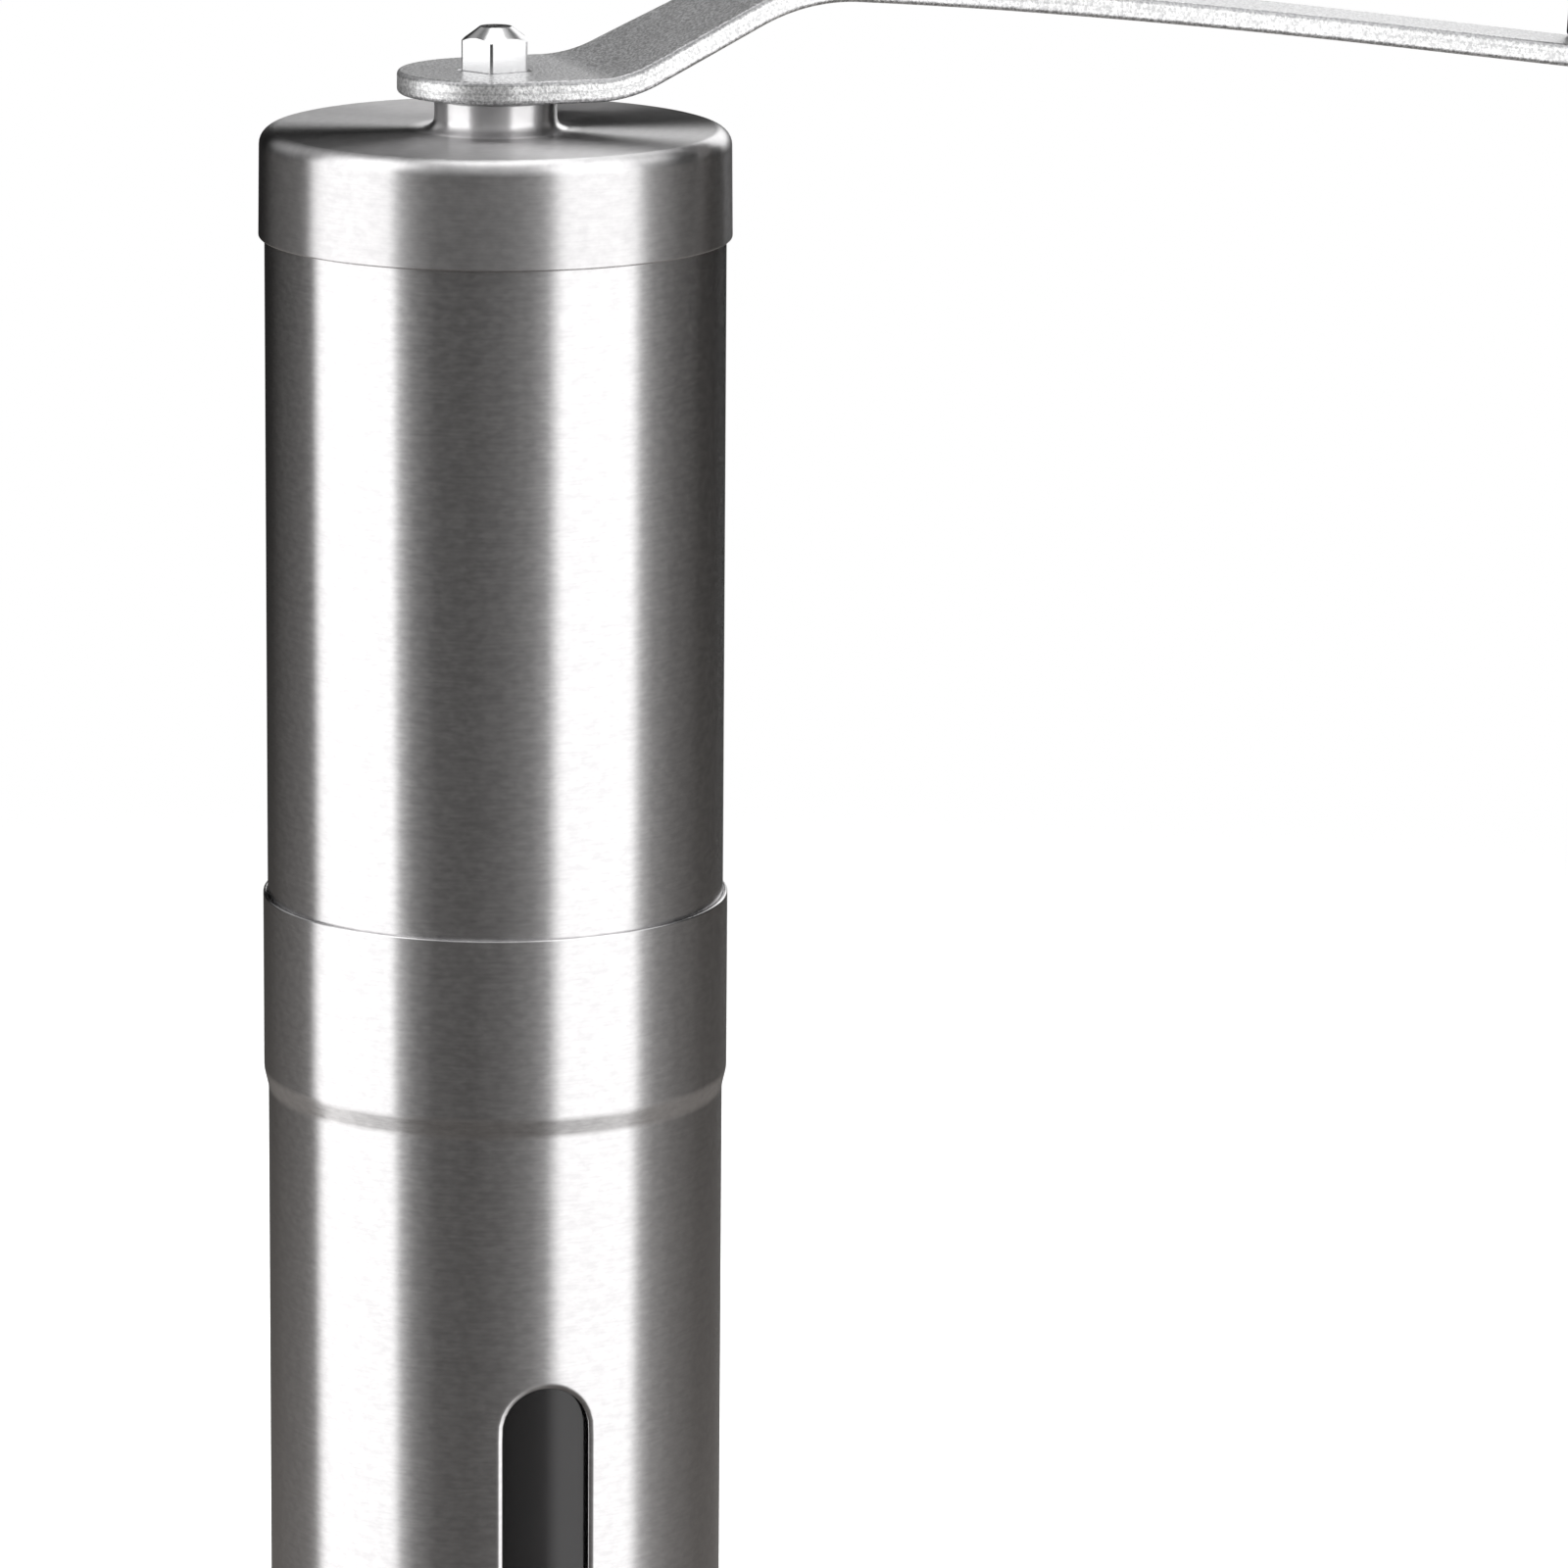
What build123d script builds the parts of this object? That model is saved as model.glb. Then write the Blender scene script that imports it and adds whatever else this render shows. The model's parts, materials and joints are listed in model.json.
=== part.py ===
from build123d import *

import math
import os

os.makedirs("parts", exist_ok=True)

# A hand crank coffee grinder: a steel hopper tube with a conical burr mill in its lower end, a steel
# cup that slips over it to catch the grounds, a lid, and a crank with a turning knob on top.
# Millimetres and degrees. Z = 0 is the face it stands on, Z is the shaft's axis, +X is the crank's way.

# How far a cutting tool runs past the face it cuts
OVERCUT = 1.0

# Sheet steel shells
TUBE_R = 23.0
SHEET = 0.4
SLIP = 0.05
MOUTH_BORE_R = TUBE_R + SLIP
MOUTH_R = MOUTH_BORE_R + SHEET
CUP_BORE_R = TUBE_R - SHEET
CUP_FLOOR = 0.6
CUP_CORNER_R = 2.5
STEP_LOW = 89.8
STEP_HIGH = 91.7
MOUTH_TOP = 110.0
SLOT_WIDTH = 8.8
SLOT_LOW = 15.5
SLOT_HIGH = 63.8
SLOT_AZIMUTH = -94.0
HOPPER_LOW = 91.8
HOPPER_TOP = 185.9
LID_SHEET = 0.45
LID_R = 23.6
LID_TOP_R = 23.48
LID_LOW = 176.7
LID_TOP = 187.5
LID_CORNER_R = 1.6
NECK_R = 6.1
NECK_TOP = 190.5
NECK_FLARE_R = 0.8

# Clear liner of the cup
LINER_WALL = 1.2
LINER_R = 22.1
LINER_RIM_R = CUP_BORE_R - SLIP
LINER_RIM = 3.0
LINER_TOP = 84.0
LINER_FLOOR = 1.6

# Drive shaft
SHAFT_LOW = 79.0
SHAFT_TOP = 197.6
JOURNAL_R = 4.0
ROD_R = 2.95
SHOULDER_Z = 133.0
FLAT_HALF = 2.4
FLAT_LOW = 88.0
FLAT_HIGH = 114.0
PENTAGON_R = 3.55
PENTAGON_AZIMUTH = 29.8
PENTAGON_FLAT_R = 1.6
PENTAGON_CHAMFER = 1.45
PENTAGON_EDGE_R = 0.5
RUNNING = 0.05

# Plastic frame inside the hopper tube
FRAME_R = CUP_BORE_R - SLIP
COLLAR_BORE_R = 19.1
SHELF_Z = 110.1
COLLAR_TOP = 117.0
THROAT_R = 15.8
FUNNEL_R = 21.4
LEG_COUNT = 3
LEG_WIDTH = 5.0
LEG_AZIMUTH = 90.0
RING_BORE_R = 20.2
SPIDER_LOW = 150.0
SPIDER_TOP = 158.0
SPIDER_ARM = 3.6
UPPER_BOSS_R = 7.4
UPPER_BUSH_R = 5.6
BRIDGE_LOW = 124.0
BRIDGE_TOP = 131.0
LOWER_BOSS_R = 6.4
LOWER_BUSH_R = 4.6
BUSH_FLANGE = 1.0
SEAT_GAP = 0.02

# Washers and spring on the rod
WASHER = 0.8
SHOULDER_WASHER_R = 5.3
THRUST_WASHER_R = 5.6
WIRE_R = 0.45
COIL_R = 4.3
COIL_TURNS = 4.5
SPRING_SEAT_TOP = 113.0

# Burrs: inside the fine ring at the bottom both cones have the same slope
BURR_SLOPE = 0.3
FINE_LOW = 93.5
FINE_HIGH = 98.5
INNER_BURR_R = 13.0
INNER_BURR_TOP = 112.2
INNER_TIP_R = 6.6
INNER_BORE_R = 5.2
REST_GAP = 0.33
OUTER_BURR_R = 19.0
OUTER_BURR_LOW = 94.2
OUTER_MOUTH_R = 15.6
FLUTE_COUNT = 8
FLUTE_SIDE = 2.6
FLUTE_TWIST = 38.0
OUTER_FLUTE_COUNT = 16
OUTER_FLUTE_SIDE = 1.7
OUTER_FLUTE_TWIST = -16.0

# Ring that holds the outer burr up in the collar
HOLDER_LOW = 86.6
HOLDER_FLANGE_TOP = 91.7
HOLDER_FLANGE_R = 21.2
HOLDER_BORE_R = 15.2
HOLDER_NOTCHES = 12
HOLDER_NOTCH_R = 1.6

# Drive hub under the inner burr, and the dial that sets its height
HUB_LOW = 91.0
HUB_FLANGE_R = 10.0
HUB_CORE_R = INNER_BORE_R - SEAT_GAP
CLICK_COUNT = 12
BUMP_COUNT = 3
CLICK_R = 0.5
CLICK_TRACK_R = 7.6
CLICK_TRACK_HALF = 1.0
CLICK_TRACK_DEPTH = 0.7
DIAL_LOW = 83.6
DIAL_TOP = 90.9
DIAL_R = 10.4
DIAL_RIB_COUNT = 12
DIAL_SCALLOP_R = 1.5
INSERT_R = 5.0
INSERT_BORE_R = ROD_R + RUNNING

# Crank arm: its top face runs level, up a ramp, and gently down to the knob
ARM_THICK = 2.3
HUB_TOP_Z = 193.3
HUB_R = 9.8
RAMP_START = 7.5
RAMP_ANGLE = 25.4
RAMP_BEND_R = 12.8
CREST_START = 24.0
CREST_BEND_R = 23.0
FALL_START_ANGLE = 5.1
FALL_END_ANGLE = 8.0
FALL_BEND_R = 1123.0
ARM_BOSS_R = 7.2
KNOB_X = 124.8
SHOULDER_X = 11.0
SHOULDER_HALF = 10.1
NARROW_X = 46.0
NARROW_HALF = 6.2
PIN_HOLE_R = 2.52

# Knob, in its own frame: Z = 0 is the arm's top face, square to the arm's end
KNOB_BASE_R = 8.5
KNOB_MAX_R = 11.0
KNOB_WIDEST_Z = 18.5
KNOB_TOP_R = 7.4
KNOB_TOP_Z = 27.0
KNOB_FOOT_GAP = 0.1
KNOB_BORE_R = 2.55
PIN_R = 2.5
PIN_HEAD_R = 4.0
PIN_HEAD_LOW = 14.0
PIN_HEAD = 2.0
RIVET_R = 4.4
RIVET = 1.3
WELL_R = 5.2
WELL_FLOOR = 13.9
CAP_LOW = 18.5
CAP_R = WELL_R - SEAT_GAP
KNOB_WASHER_R = 6.0
KNOB_WASHER = 0.5
RECESS_R = 6.3
RECESS_TOP = 0.6


def disc(radius, low, high):
    """An upright cylinder on the shaft's axis."""
    return Pos(0, 0, low) * Cylinder(
        radius, high - low, align=(Align.CENTER, Align.CENTER, Align.MIN)
    )


def ring(outer, inner, low, high):
    """An upright tube on the shaft's axis."""
    return disc(outer, low, high) - disc(inner, low - OVERCUT, high + OVERCUT)


def lathe(*outline):
    """A solid of revolution from its (radius, height) outline."""
    face = Plane.XZ * make_face(Polyline(*outline, close=True))
    return revolve(face, axis=Axis.Z)


def around(count, start=0.0):
    """Rotations that spread count copies evenly about the shaft's axis."""
    return [Rot(0, 0, start + 360 * index / count) for index in range(count)]


def bar_between(start, end, side):
    """A square bar, set on edge, from one point to another."""
    way = Vector(*end) - Vector(*start)
    square = Plane(origin=start, z_dir=way) * Rot(0, 0, 45) * Rectangle(side, side)
    return extrude(square, amount=way.length)


def on_cone(radius, height, azimuth):
    """The point at this radius, height and azimuth."""
    angle = math.radians(azimuth)
    return (radius * math.cos(angle), radius * math.sin(angle), height)


def circle_at(solid, height, radius):
    """The circular edges of a turned solid at one height and radius."""
    tolerance = 1e-3
    return [
        edge
        for edge in solid.edges().filter_by(GeomType.CIRCLE)
        if abs(edge.arc_center.Z - height) < tolerance and abs(edge.radius - radius) < tolerance
    ]


# Shells


def make_cup_shell():
    """Drawn cup with a flat floor, a mouth expanded by one sheet, and a window slot."""
    cup = lathe(
        (0, 0),
        (TUBE_R, 0),
        (TUBE_R, STEP_LOW),
        (MOUTH_R, STEP_HIGH),
        (MOUTH_R, MOUTH_TOP),
        (MOUTH_BORE_R, MOUTH_TOP),
        (MOUTH_BORE_R, STEP_HIGH),
        (CUP_BORE_R, STEP_LOW),
        (CUP_BORE_R, CUP_FLOOR),
        (0, CUP_FLOOR),
    )
    cup = fillet(circle_at(cup, 0, TUBE_R), CUP_CORNER_R)
    cup = fillet(circle_at(cup, CUP_FLOOR, CUP_BORE_R), CUP_CORNER_R - SHEET)
    slot_face = Plane.YZ * Rot(0, 0, 90) * SlotOverall(SLOT_HIGH - SLOT_LOW, SLOT_WIDTH)
    slot = Pos(0, 0, (SLOT_LOW + SLOT_HIGH) / 2) * extrude(slot_face, amount=2 * TUBE_R)
    return cup - Rot(0, 0, SLOT_AZIMUTH) * slot


def make_window_liner():
    """Clear inner cup behind the slot, centred in the steel cup by its rim and its foot."""
    foot_low = CUP_FLOOR + SEAT_GAP
    foot_top = foot_low + LINER_RIM + CUP_CORNER_R
    foot = disc(LINER_RIM_R, foot_low, foot_top)
    foot = fillet(circle_at(foot, foot_low, LINER_RIM_R), CUP_CORNER_R)
    rim = disc(LINER_RIM_R, LINER_TOP - LINER_RIM, LINER_TOP)
    liner = foot + disc(LINER_R, foot_top, LINER_TOP) + rim
    return liner - disc(LINER_R - LINER_WALL, CUP_FLOOR + LINER_FLOOR, LINER_TOP + OVERCUT)


def make_hopper_tube():
    """Straight steel tube that holds the beans and the mill."""
    return ring(TUBE_R, CUP_BORE_R, HOPPER_LOW, HOPPER_TOP)


def make_lid_shell():
    """Pressed lid, a little narrower at its top, with a drawn neck that the shaft comes up through."""
    neck_bore_r = NECK_R - LID_SHEET
    under_r = LID_TOP_R - LID_SHEET
    under_z = LID_TOP - LID_SHEET
    lid = lathe(
        (neck_bore_r, NECK_TOP),
        (NECK_R, NECK_TOP),
        (NECK_R, LID_TOP),
        (LID_TOP_R, LID_TOP),
        (LID_R, LID_LOW),
        (LID_R - LID_SHEET, LID_LOW),
        (under_r, under_z),
        (neck_bore_r, under_z),
    )
    lid = fillet(circle_at(lid, LID_TOP, LID_TOP_R), LID_CORNER_R)
    lid = fillet(circle_at(lid, under_z, under_r), LID_CORNER_R - LID_SHEET)
    return fillet(circle_at(lid, LID_TOP, NECK_R), NECK_FLARE_R)


# Mill frame in the hopper tube


def spoke(length, low, high, azimuth):
    """One radial arm of the frame, from the axis outwards."""
    arm = Pos(length / 2, 0, (low + high) / 2) * Box(length, SPIDER_ARM, high - low)
    return Rot(0, 0, azimuth) * arm


def make_bean_frame():
    """Collar for the burr, funnel, three legs, and two spoked bosses for the bushes."""
    collar = lathe(
        (COLLAR_BORE_R, HOPPER_LOW),
        (FRAME_R, HOPPER_LOW),
        (FRAME_R, COLLAR_TOP),
        (FUNNEL_R, COLLAR_TOP),
        (THROAT_R, SHELF_Z + WASHER),
        (THROAT_R, SHELF_Z),
        (COLLAR_BORE_R, SHELF_Z),
    )
    top_ring = ring(FRAME_R, RING_BORE_R, SPIDER_LOW, SPIDER_TOP)
    frame = collar + top_ring
    frame += disc(UPPER_BOSS_R, SPIDER_LOW, SPIDER_TOP)
    frame += disc(LOWER_BOSS_R, BRIDGE_LOW, BRIDGE_TOP)
    leg_shell = ring(FRAME_R, RING_BORE_R, SHELF_Z + WASHER, SPIDER_TOP)
    mid_z = (SHELF_Z + SPIDER_TOP) / 2
    for turn in around(LEG_COUNT, LEG_AZIMUTH):
        strip = Pos(TUBE_R / 2, 0, mid_z) * Box(TUBE_R, LEG_WIDTH, SPIDER_TOP)
        frame += leg_shell & (turn * strip)
        azimuth = turn.orientation.Z
        reach = (RING_BORE_R + FRAME_R) / 2
        frame += spoke(reach, SPIDER_LOW, SPIDER_TOP, azimuth)
        frame += spoke(reach, BRIDGE_LOW, BRIDGE_TOP, azimuth)
    frame -= disc(UPPER_BUSH_R, SPIDER_LOW - OVERCUT, SPIDER_TOP + OVERCUT)
    return frame - disc(LOWER_BUSH_R, BRIDGE_LOW - OVERCUT, BRIDGE_TOP + OVERCUT)


def make_bush(radius, bore, low, top, flange_r):
    """Flanged plain bearing: a sleeve in the boss and a flange on top of it."""
    sleeve = disc(radius - SEAT_GAP, low, top)
    flange = disc(flange_r, top, top + BUSH_FLANGE)
    return sleeve + flange - disc(bore, low - OVERCUT, top + BUSH_FLANGE + OVERCUT)


def make_upper_bush():
    """Bush that guides the shaft's thick journal."""
    return make_bush(UPPER_BUSH_R, JOURNAL_R + RUNNING, SPIDER_LOW, SPIDER_TOP, UPPER_BOSS_R - BUSH_FLANGE)


def make_lower_bush():
    """Bush that guides the rod and carries the shaft's shoulder."""
    return make_bush(LOWER_BUSH_R, ROD_R + RUNNING, BRIDGE_LOW, BRIDGE_TOP, LOWER_BOSS_R - BUSH_FLANGE / 2)


def make_burr_holder():
    """Twist-in ring that holds the outer burr up against the collar's shelf."""
    spigot = disc(COLLAR_BORE_R - SLIP, HOLDER_FLANGE_TOP, OUTER_BURR_LOW - SEAT_GAP)
    flange = disc(HOLDER_FLANGE_R, HOLDER_LOW, HOLDER_FLANGE_TOP)
    flange = chamfer(circle_at(flange, HOLDER_LOW, HOLDER_FLANGE_R), SHEET)
    holder = spigot + flange
    notch = disc(HOLDER_NOTCH_R, HOLDER_LOW - OVERCUT, HOLDER_FLANGE_TOP)
    notch_x = HOLDER_FLANGE_R + HOLDER_NOTCH_R / 2
    for turn in around(HOLDER_NOTCHES):
        holder -= turn * Pos(notch_x, 0, 0) * notch
    return holder - disc(HOLDER_BORE_R, HOLDER_LOW - OVERCUT, OUTER_BURR_LOW + OVERCUT)


# Burrs and dial


def cone_radius(height):
    """Radius of the inner burr's fine ring at this height."""
    return INNER_BURR_R - BURR_SLOPE * (height - FINE_LOW)


def make_outer_burr():
    """Ceramic ring: a fine cone at the bottom that opens to a fluted throat."""
    burr = lathe(
        (cone_radius(OUTER_BURR_LOW) + REST_GAP, OUTER_BURR_LOW),
        (OUTER_BURR_R, OUTER_BURR_LOW),
        (OUTER_BURR_R, SHELF_Z - SEAT_GAP),
        (OUTER_MOUTH_R, SHELF_Z - SEAT_GAP),
        (cone_radius(FINE_HIGH) + REST_GAP, FINE_HIGH),
    )
    start = on_cone(cone_radius(FINE_HIGH) + REST_GAP, FINE_HIGH, 0)
    end = on_cone(OUTER_MOUTH_R, SHELF_Z, OUTER_FLUTE_TWIST)
    flute = bar_between(start, end, OUTER_FLUTE_SIDE)
    for turn in around(OUTER_FLUTE_COUNT):
        burr -= turn * flute
    return burr


def make_inner_burr():
    """Ceramic cone with slanting flutes that draw beans down to its fine ring."""
    burr = lathe(
        (INNER_BORE_R, FINE_LOW),
        (INNER_BURR_R, FINE_LOW),
        (cone_radius(FINE_HIGH), FINE_HIGH),
        (INNER_TIP_R, INNER_BURR_TOP),
        (INNER_BORE_R, INNER_BURR_TOP),
    )
    start = on_cone(cone_radius(FINE_HIGH), FINE_HIGH, 0)
    end = on_cone(INNER_TIP_R, INNER_BURR_TOP, FLUTE_TWIST)
    flute = bar_between(start, end, FLUTE_SIDE)
    for turn in around(FLUTE_COUNT):
        burr -= turn * flute
    return burr - disc(INNER_BORE_R, FINE_LOW - OVERCUT, INNER_BURR_TOP + OVERCUT)


def double_d(radius, flat_half, low, high):
    """A round bar with two flats, as on the rod where it drives the burr."""
    bar = Pos(0, 0, (low + high) / 2) * Box(2 * radius, 2 * flat_half, high - low)
    return disc(radius, low, high) & bar


def make_burr_hub():
    """Plastic core of the inner burr, keyed to the rod's flats, with click bumps below."""
    core = disc(HUB_CORE_R, HUB_LOW, INNER_BURR_TOP - SEAT_GAP)
    flange = disc(HUB_FLANGE_R, HUB_LOW, FINE_LOW - SEAT_GAP)
    hub = core + flange
    bump = Pos(CLICK_TRACK_R, 0, HUB_LOW) * Sphere(CLICK_R)
    for turn in around(BUMP_COUNT):
        hub += turn * bump
    key = double_d(ROD_R + RUNNING, FLAT_HALF + RUNNING, HUB_LOW - OVERCUT, INNER_BURR_TOP + OVERCUT)
    return hub - key


def make_adjusting_dial():
    """Ribbed dial with a dimpled track that the hub's bumps click over."""
    dial = disc(DIAL_R, DIAL_LOW, DIAL_TOP)
    dial = chamfer(circle_at(dial, DIAL_LOW, DIAL_R), SHEET)
    scallop = disc(DIAL_SCALLOP_R, DIAL_LOW - OVERCUT, DIAL_TOP + OVERCUT)
    scallop_x = DIAL_R + DIAL_SCALLOP_R / 2
    track_low = DIAL_TOP - CLICK_TRACK_DEPTH
    track_in = CLICK_TRACK_R - CLICK_TRACK_HALF
    track_out = CLICK_TRACK_R + CLICK_TRACK_HALF
    dimple = Pos(CLICK_TRACK_R, 0, track_low) * Sphere(CLICK_R)
    dial -= ring(track_out, track_in, track_low, DIAL_TOP + OVERCUT)
    for turn in around(DIAL_RIB_COUNT):
        dial -= turn * Pos(scallop_x, 0, 0) * scallop
    for turn in around(CLICK_COUNT):
        dial -= turn * dimple
    return dial - disc(INSERT_R + SEAT_GAP, DIAL_LOW - OVERCUT, DIAL_TOP + OVERCUT)


def make_dial_insert():
    """Brass threaded insert of the dial."""
    return ring(INSERT_R, INSERT_BORE_R, DIAL_LOW, DIAL_TOP)


# Shaft and what rides on it


def pentagon(radius, low, high):
    """A five-sided bar with rounded edges, turned as the shaft's drive end is."""
    side_r = radius * math.cos(math.pi / 5)
    face = RegularPolygon(side_r, 5, major_radius=False)
    corner = face.vertices().sort_by(Axis.X)[-1]
    own_azimuth = math.degrees(math.atan2(corner.Y, corner.X))
    rounded = fillet(face.vertices(), PENTAGON_EDGE_R)
    return Rot(0, 0, PENTAGON_AZIMUTH - own_azimuth) * extrude(Pos(0, 0, low) * rounded, amount=high - low)


def make_drive_shaft():
    """Turned steel shaft: five-sided top, journal, shoulder, rod with two flats."""
    head_low = HUB_TOP_Z - ARM_THICK
    head = pentagon(PENTAGON_R, head_low, SHAFT_TOP)
    point = lathe(
        (0, head_low),
        (PENTAGON_R, head_low),
        (PENTAGON_R, SHAFT_TOP - PENTAGON_CHAMFER),
        (PENTAGON_FLAT_R, SHAFT_TOP),
        (0, SHAFT_TOP),
    )
    journal = disc(JOURNAL_R, SHOULDER_Z, head_low)
    rod = disc(ROD_R, FLAT_HIGH, SHOULDER_Z)
    flats = double_d(ROD_R, FLAT_HALF, FLAT_LOW, FLAT_HIGH)
    thread = disc(ROD_R, SHAFT_LOW, FLAT_LOW)
    thread = chamfer(circle_at(thread, SHAFT_LOW, ROD_R), SHEET)
    return (head & point) + journal + rod + flats + thread


def make_shoulder_washer():
    """Washer between the shaft's shoulder and the lower bush."""
    low = BRIDGE_TOP + BUSH_FLANGE + RUNNING
    return ring(SHOULDER_WASHER_R, ROD_R + RUNNING, low, SHOULDER_Z - SEAT_GAP)


def make_thrust_washer():
    """Washer that the spring pushes up against the lower bush."""
    high = BRIDGE_LOW - RUNNING
    return ring(THRUST_WASHER_R, ROD_R + RUNNING, high - WASHER, high)


def make_spring_seat():
    """Washer between the spring and the inner burr."""
    return ring(THRUST_WASHER_R, ROD_R + RUNNING, INNER_BURR_TOP, SPRING_SEAT_TOP)


def make_pressure_spring():
    """Coil spring that keeps the inner burr down on its dial."""
    low = SPRING_SEAT_TOP + SEAT_GAP
    high = BRIDGE_LOW - RUNNING - WASHER - SEAT_GAP
    height = high - low - 2 * WIRE_R
    path = Helix(height / COIL_TURNS, height, COIL_R)
    path = Pos(0, 0, low + WIRE_R) * path
    wire = Plane(origin=path @ 0, z_dir=path % 0) * Circle(WIRE_R)
    return sweep(wire, path=path) & disc(TUBE_R, low, high)


# Crank and knob


def arm_top_path(start_x, end_x):
    """Top face of the arm in side view, from the hub's far side to the arm's end."""
    hub_end = Vector(RAMP_START, 0, HUB_TOP_Z)
    hub = Line((start_x, 0, HUB_TOP_Z), hub_end)
    side_view = Plane(origin=(0, 0, 0), x_dir=(1, 0, 0), z_dir=(0, -1, 0))

    def bend(start, tangent_angle, radius, turn):
        place = Plane(origin=start, x_dir=side_view.x_dir, z_dir=side_view.z_dir)
        tangent = (math.cos(math.radians(tangent_angle)), math.sin(math.radians(tangent_angle)))
        return place * JernArc((0, 0), tangent, radius, turn)

    def straight(start, angle, end_at_x):
        rise = (end_at_x - start.X) * math.tan(math.radians(angle))
        return Line(start, (end_at_x, 0, start.Z + rise))

    ramp_bend = bend(hub_end, 0, RAMP_BEND_R, RAMP_ANGLE)
    ramp = straight(ramp_bend @ 1, RAMP_ANGLE, CREST_START)
    crest = bend(ramp @ 1, RAMP_ANGLE, CREST_BEND_R, -RAMP_ANGLE - FALL_START_ANGLE)
    fall = bend(crest @ 1, -FALL_START_ANGLE, FALL_BEND_R, FALL_START_ANGLE - FALL_END_ANGLE)
    tail = straight(fall @ 1, -FALL_END_ANGLE, end_x)
    return Wire([hub, ramp_bend, ramp, crest, fall, tail])


def arm_top_at_knob():
    """The point of the arm's top face on the knob's axis."""
    return arm_top_path(-HUB_R, KNOB_X) @ 1


def knob_plane():
    """Frame of the knob: on the arm's top face, square to its end."""
    lean = math.radians(FALL_END_ANGLE)
    return Plane(
        origin=arm_top_at_knob(),
        x_dir=(math.cos(lean), 0, -math.sin(lean)),
        z_dir=(math.sin(lean), 0, math.cos(lean)),
    )


def arm_outline():
    """Plan of the arm: hub disc, shoulders, a taper, and the knob's boss."""
    sides = Polyline(
        (0, HUB_R),
        (SHOULDER_X, SHOULDER_HALF),
        (NARROW_X, NARROW_HALF),
        (KNOB_X, NARROW_HALF),
        (KNOB_X, -NARROW_HALF),
        (NARROW_X, -NARROW_HALF),
        (SHOULDER_X, -SHOULDER_HALF),
        (0, -HUB_R),
        close=True,
    )
    return make_face(sides) + Circle(HUB_R) + Pos(KNOB_X, 0) * Circle(ARM_BOSS_R)


def make_crank_arm():
    """Flat steel arm, bent up over the lid and down to the knob."""
    path = arm_top_path(-HUB_R - OVERCUT, KNOB_X + ARM_BOSS_R + OVERCUT)
    start = path @ 0
    section = Plane(origin=start, x_dir=(0, 1, 0), z_dir=(1, 0, 0)) * Pos(0, -ARM_THICK / 2)
    strip = sweep(section * Rectangle(2 * TUBE_R, ARM_THICK), path=path)
    column = extrude(arm_outline(), amount=2 * SHAFT_TOP)
    arm = strip & column
    arm -= pentagon(PENTAGON_R + RUNNING, HUB_TOP_Z - ARM_THICK - OVERCUT, HUB_TOP_Z + OVERCUT)
    return arm - knob_plane() * disc(PIN_HOLE_R, -2 * ARM_THICK, ARM_THICK)


def make_knob_pin():
    """Shouldered pin, riveted under the arm, that the knob turns on."""
    shank = disc(PIN_R, -ARM_THICK, PIN_HEAD_LOW)
    head = disc(PIN_HEAD_R, PIN_HEAD_LOW, PIN_HEAD_LOW + PIN_HEAD)
    head = chamfer(circle_at(head, PIN_HEAD_LOW + PIN_HEAD, PIN_HEAD_R), SHEET)
    rivet = disc(RIVET_R, -ARM_THICK - RIVET, -ARM_THICK - SEAT_GAP)
    rivet = fillet(circle_at(rivet, -ARM_THICK - RIVET, RIVET_R), RIVET / 2)
    neck = disc(PIN_R, -ARM_THICK - RIVET / 2, 0)
    return knob_plane() * (shank + head + rivet + neck)


def make_knob_washer():
    """Washer between the arm and the knob, in a recess of the knob's foot."""
    washer = ring(KNOB_WASHER_R, PIN_HOLE_R + SEAT_GAP, SEAT_GAP, KNOB_WASHER)
    return knob_plane() * washer


def make_knob_grip():
    """Plastic knob that widens upwards, with a well for the pin's head."""
    side = Plane.XZ * (
        Line((0, KNOB_FOOT_GAP), (KNOB_BASE_R, KNOB_FOOT_GAP))
        + ThreePointArc(
            (KNOB_BASE_R, KNOB_FOOT_GAP),
            ((KNOB_BASE_R + KNOB_MAX_R) / 2 + KNOB_FOOT_GAP, KNOB_WIDEST_Z / 2),
            (KNOB_MAX_R, KNOB_WIDEST_Z),
        )
        + TangentArc((KNOB_MAX_R, KNOB_WIDEST_Z), (KNOB_TOP_R, KNOB_TOP_Z), tangent=(0, 1))
        + Line((KNOB_TOP_R, KNOB_TOP_Z), (0, KNOB_TOP_Z))
        + Line((0, KNOB_TOP_Z), (0, KNOB_FOOT_GAP))
    )
    knob = revolve(make_face(side), axis=Axis.Z)
    knob = fillet(circle_at(knob, KNOB_FOOT_GAP, KNOB_BASE_R), SHEET)
    knob -= disc(KNOB_BORE_R, -OVERCUT, KNOB_TOP_Z)
    knob -= disc(RECESS_R, -OVERCUT, RECESS_TOP)
    return knob_plane() * (knob - disc(WELL_R, WELL_FLOOR, KNOB_TOP_Z + OVERCUT))


def make_knob_cap():
    """Plug that closes the knob's well."""
    cap = disc(CAP_R, CAP_LOW, KNOB_TOP_Z)
    return knob_plane() * fillet(circle_at(cap, KNOB_TOP_Z, CAP_R), SHEET)


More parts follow.
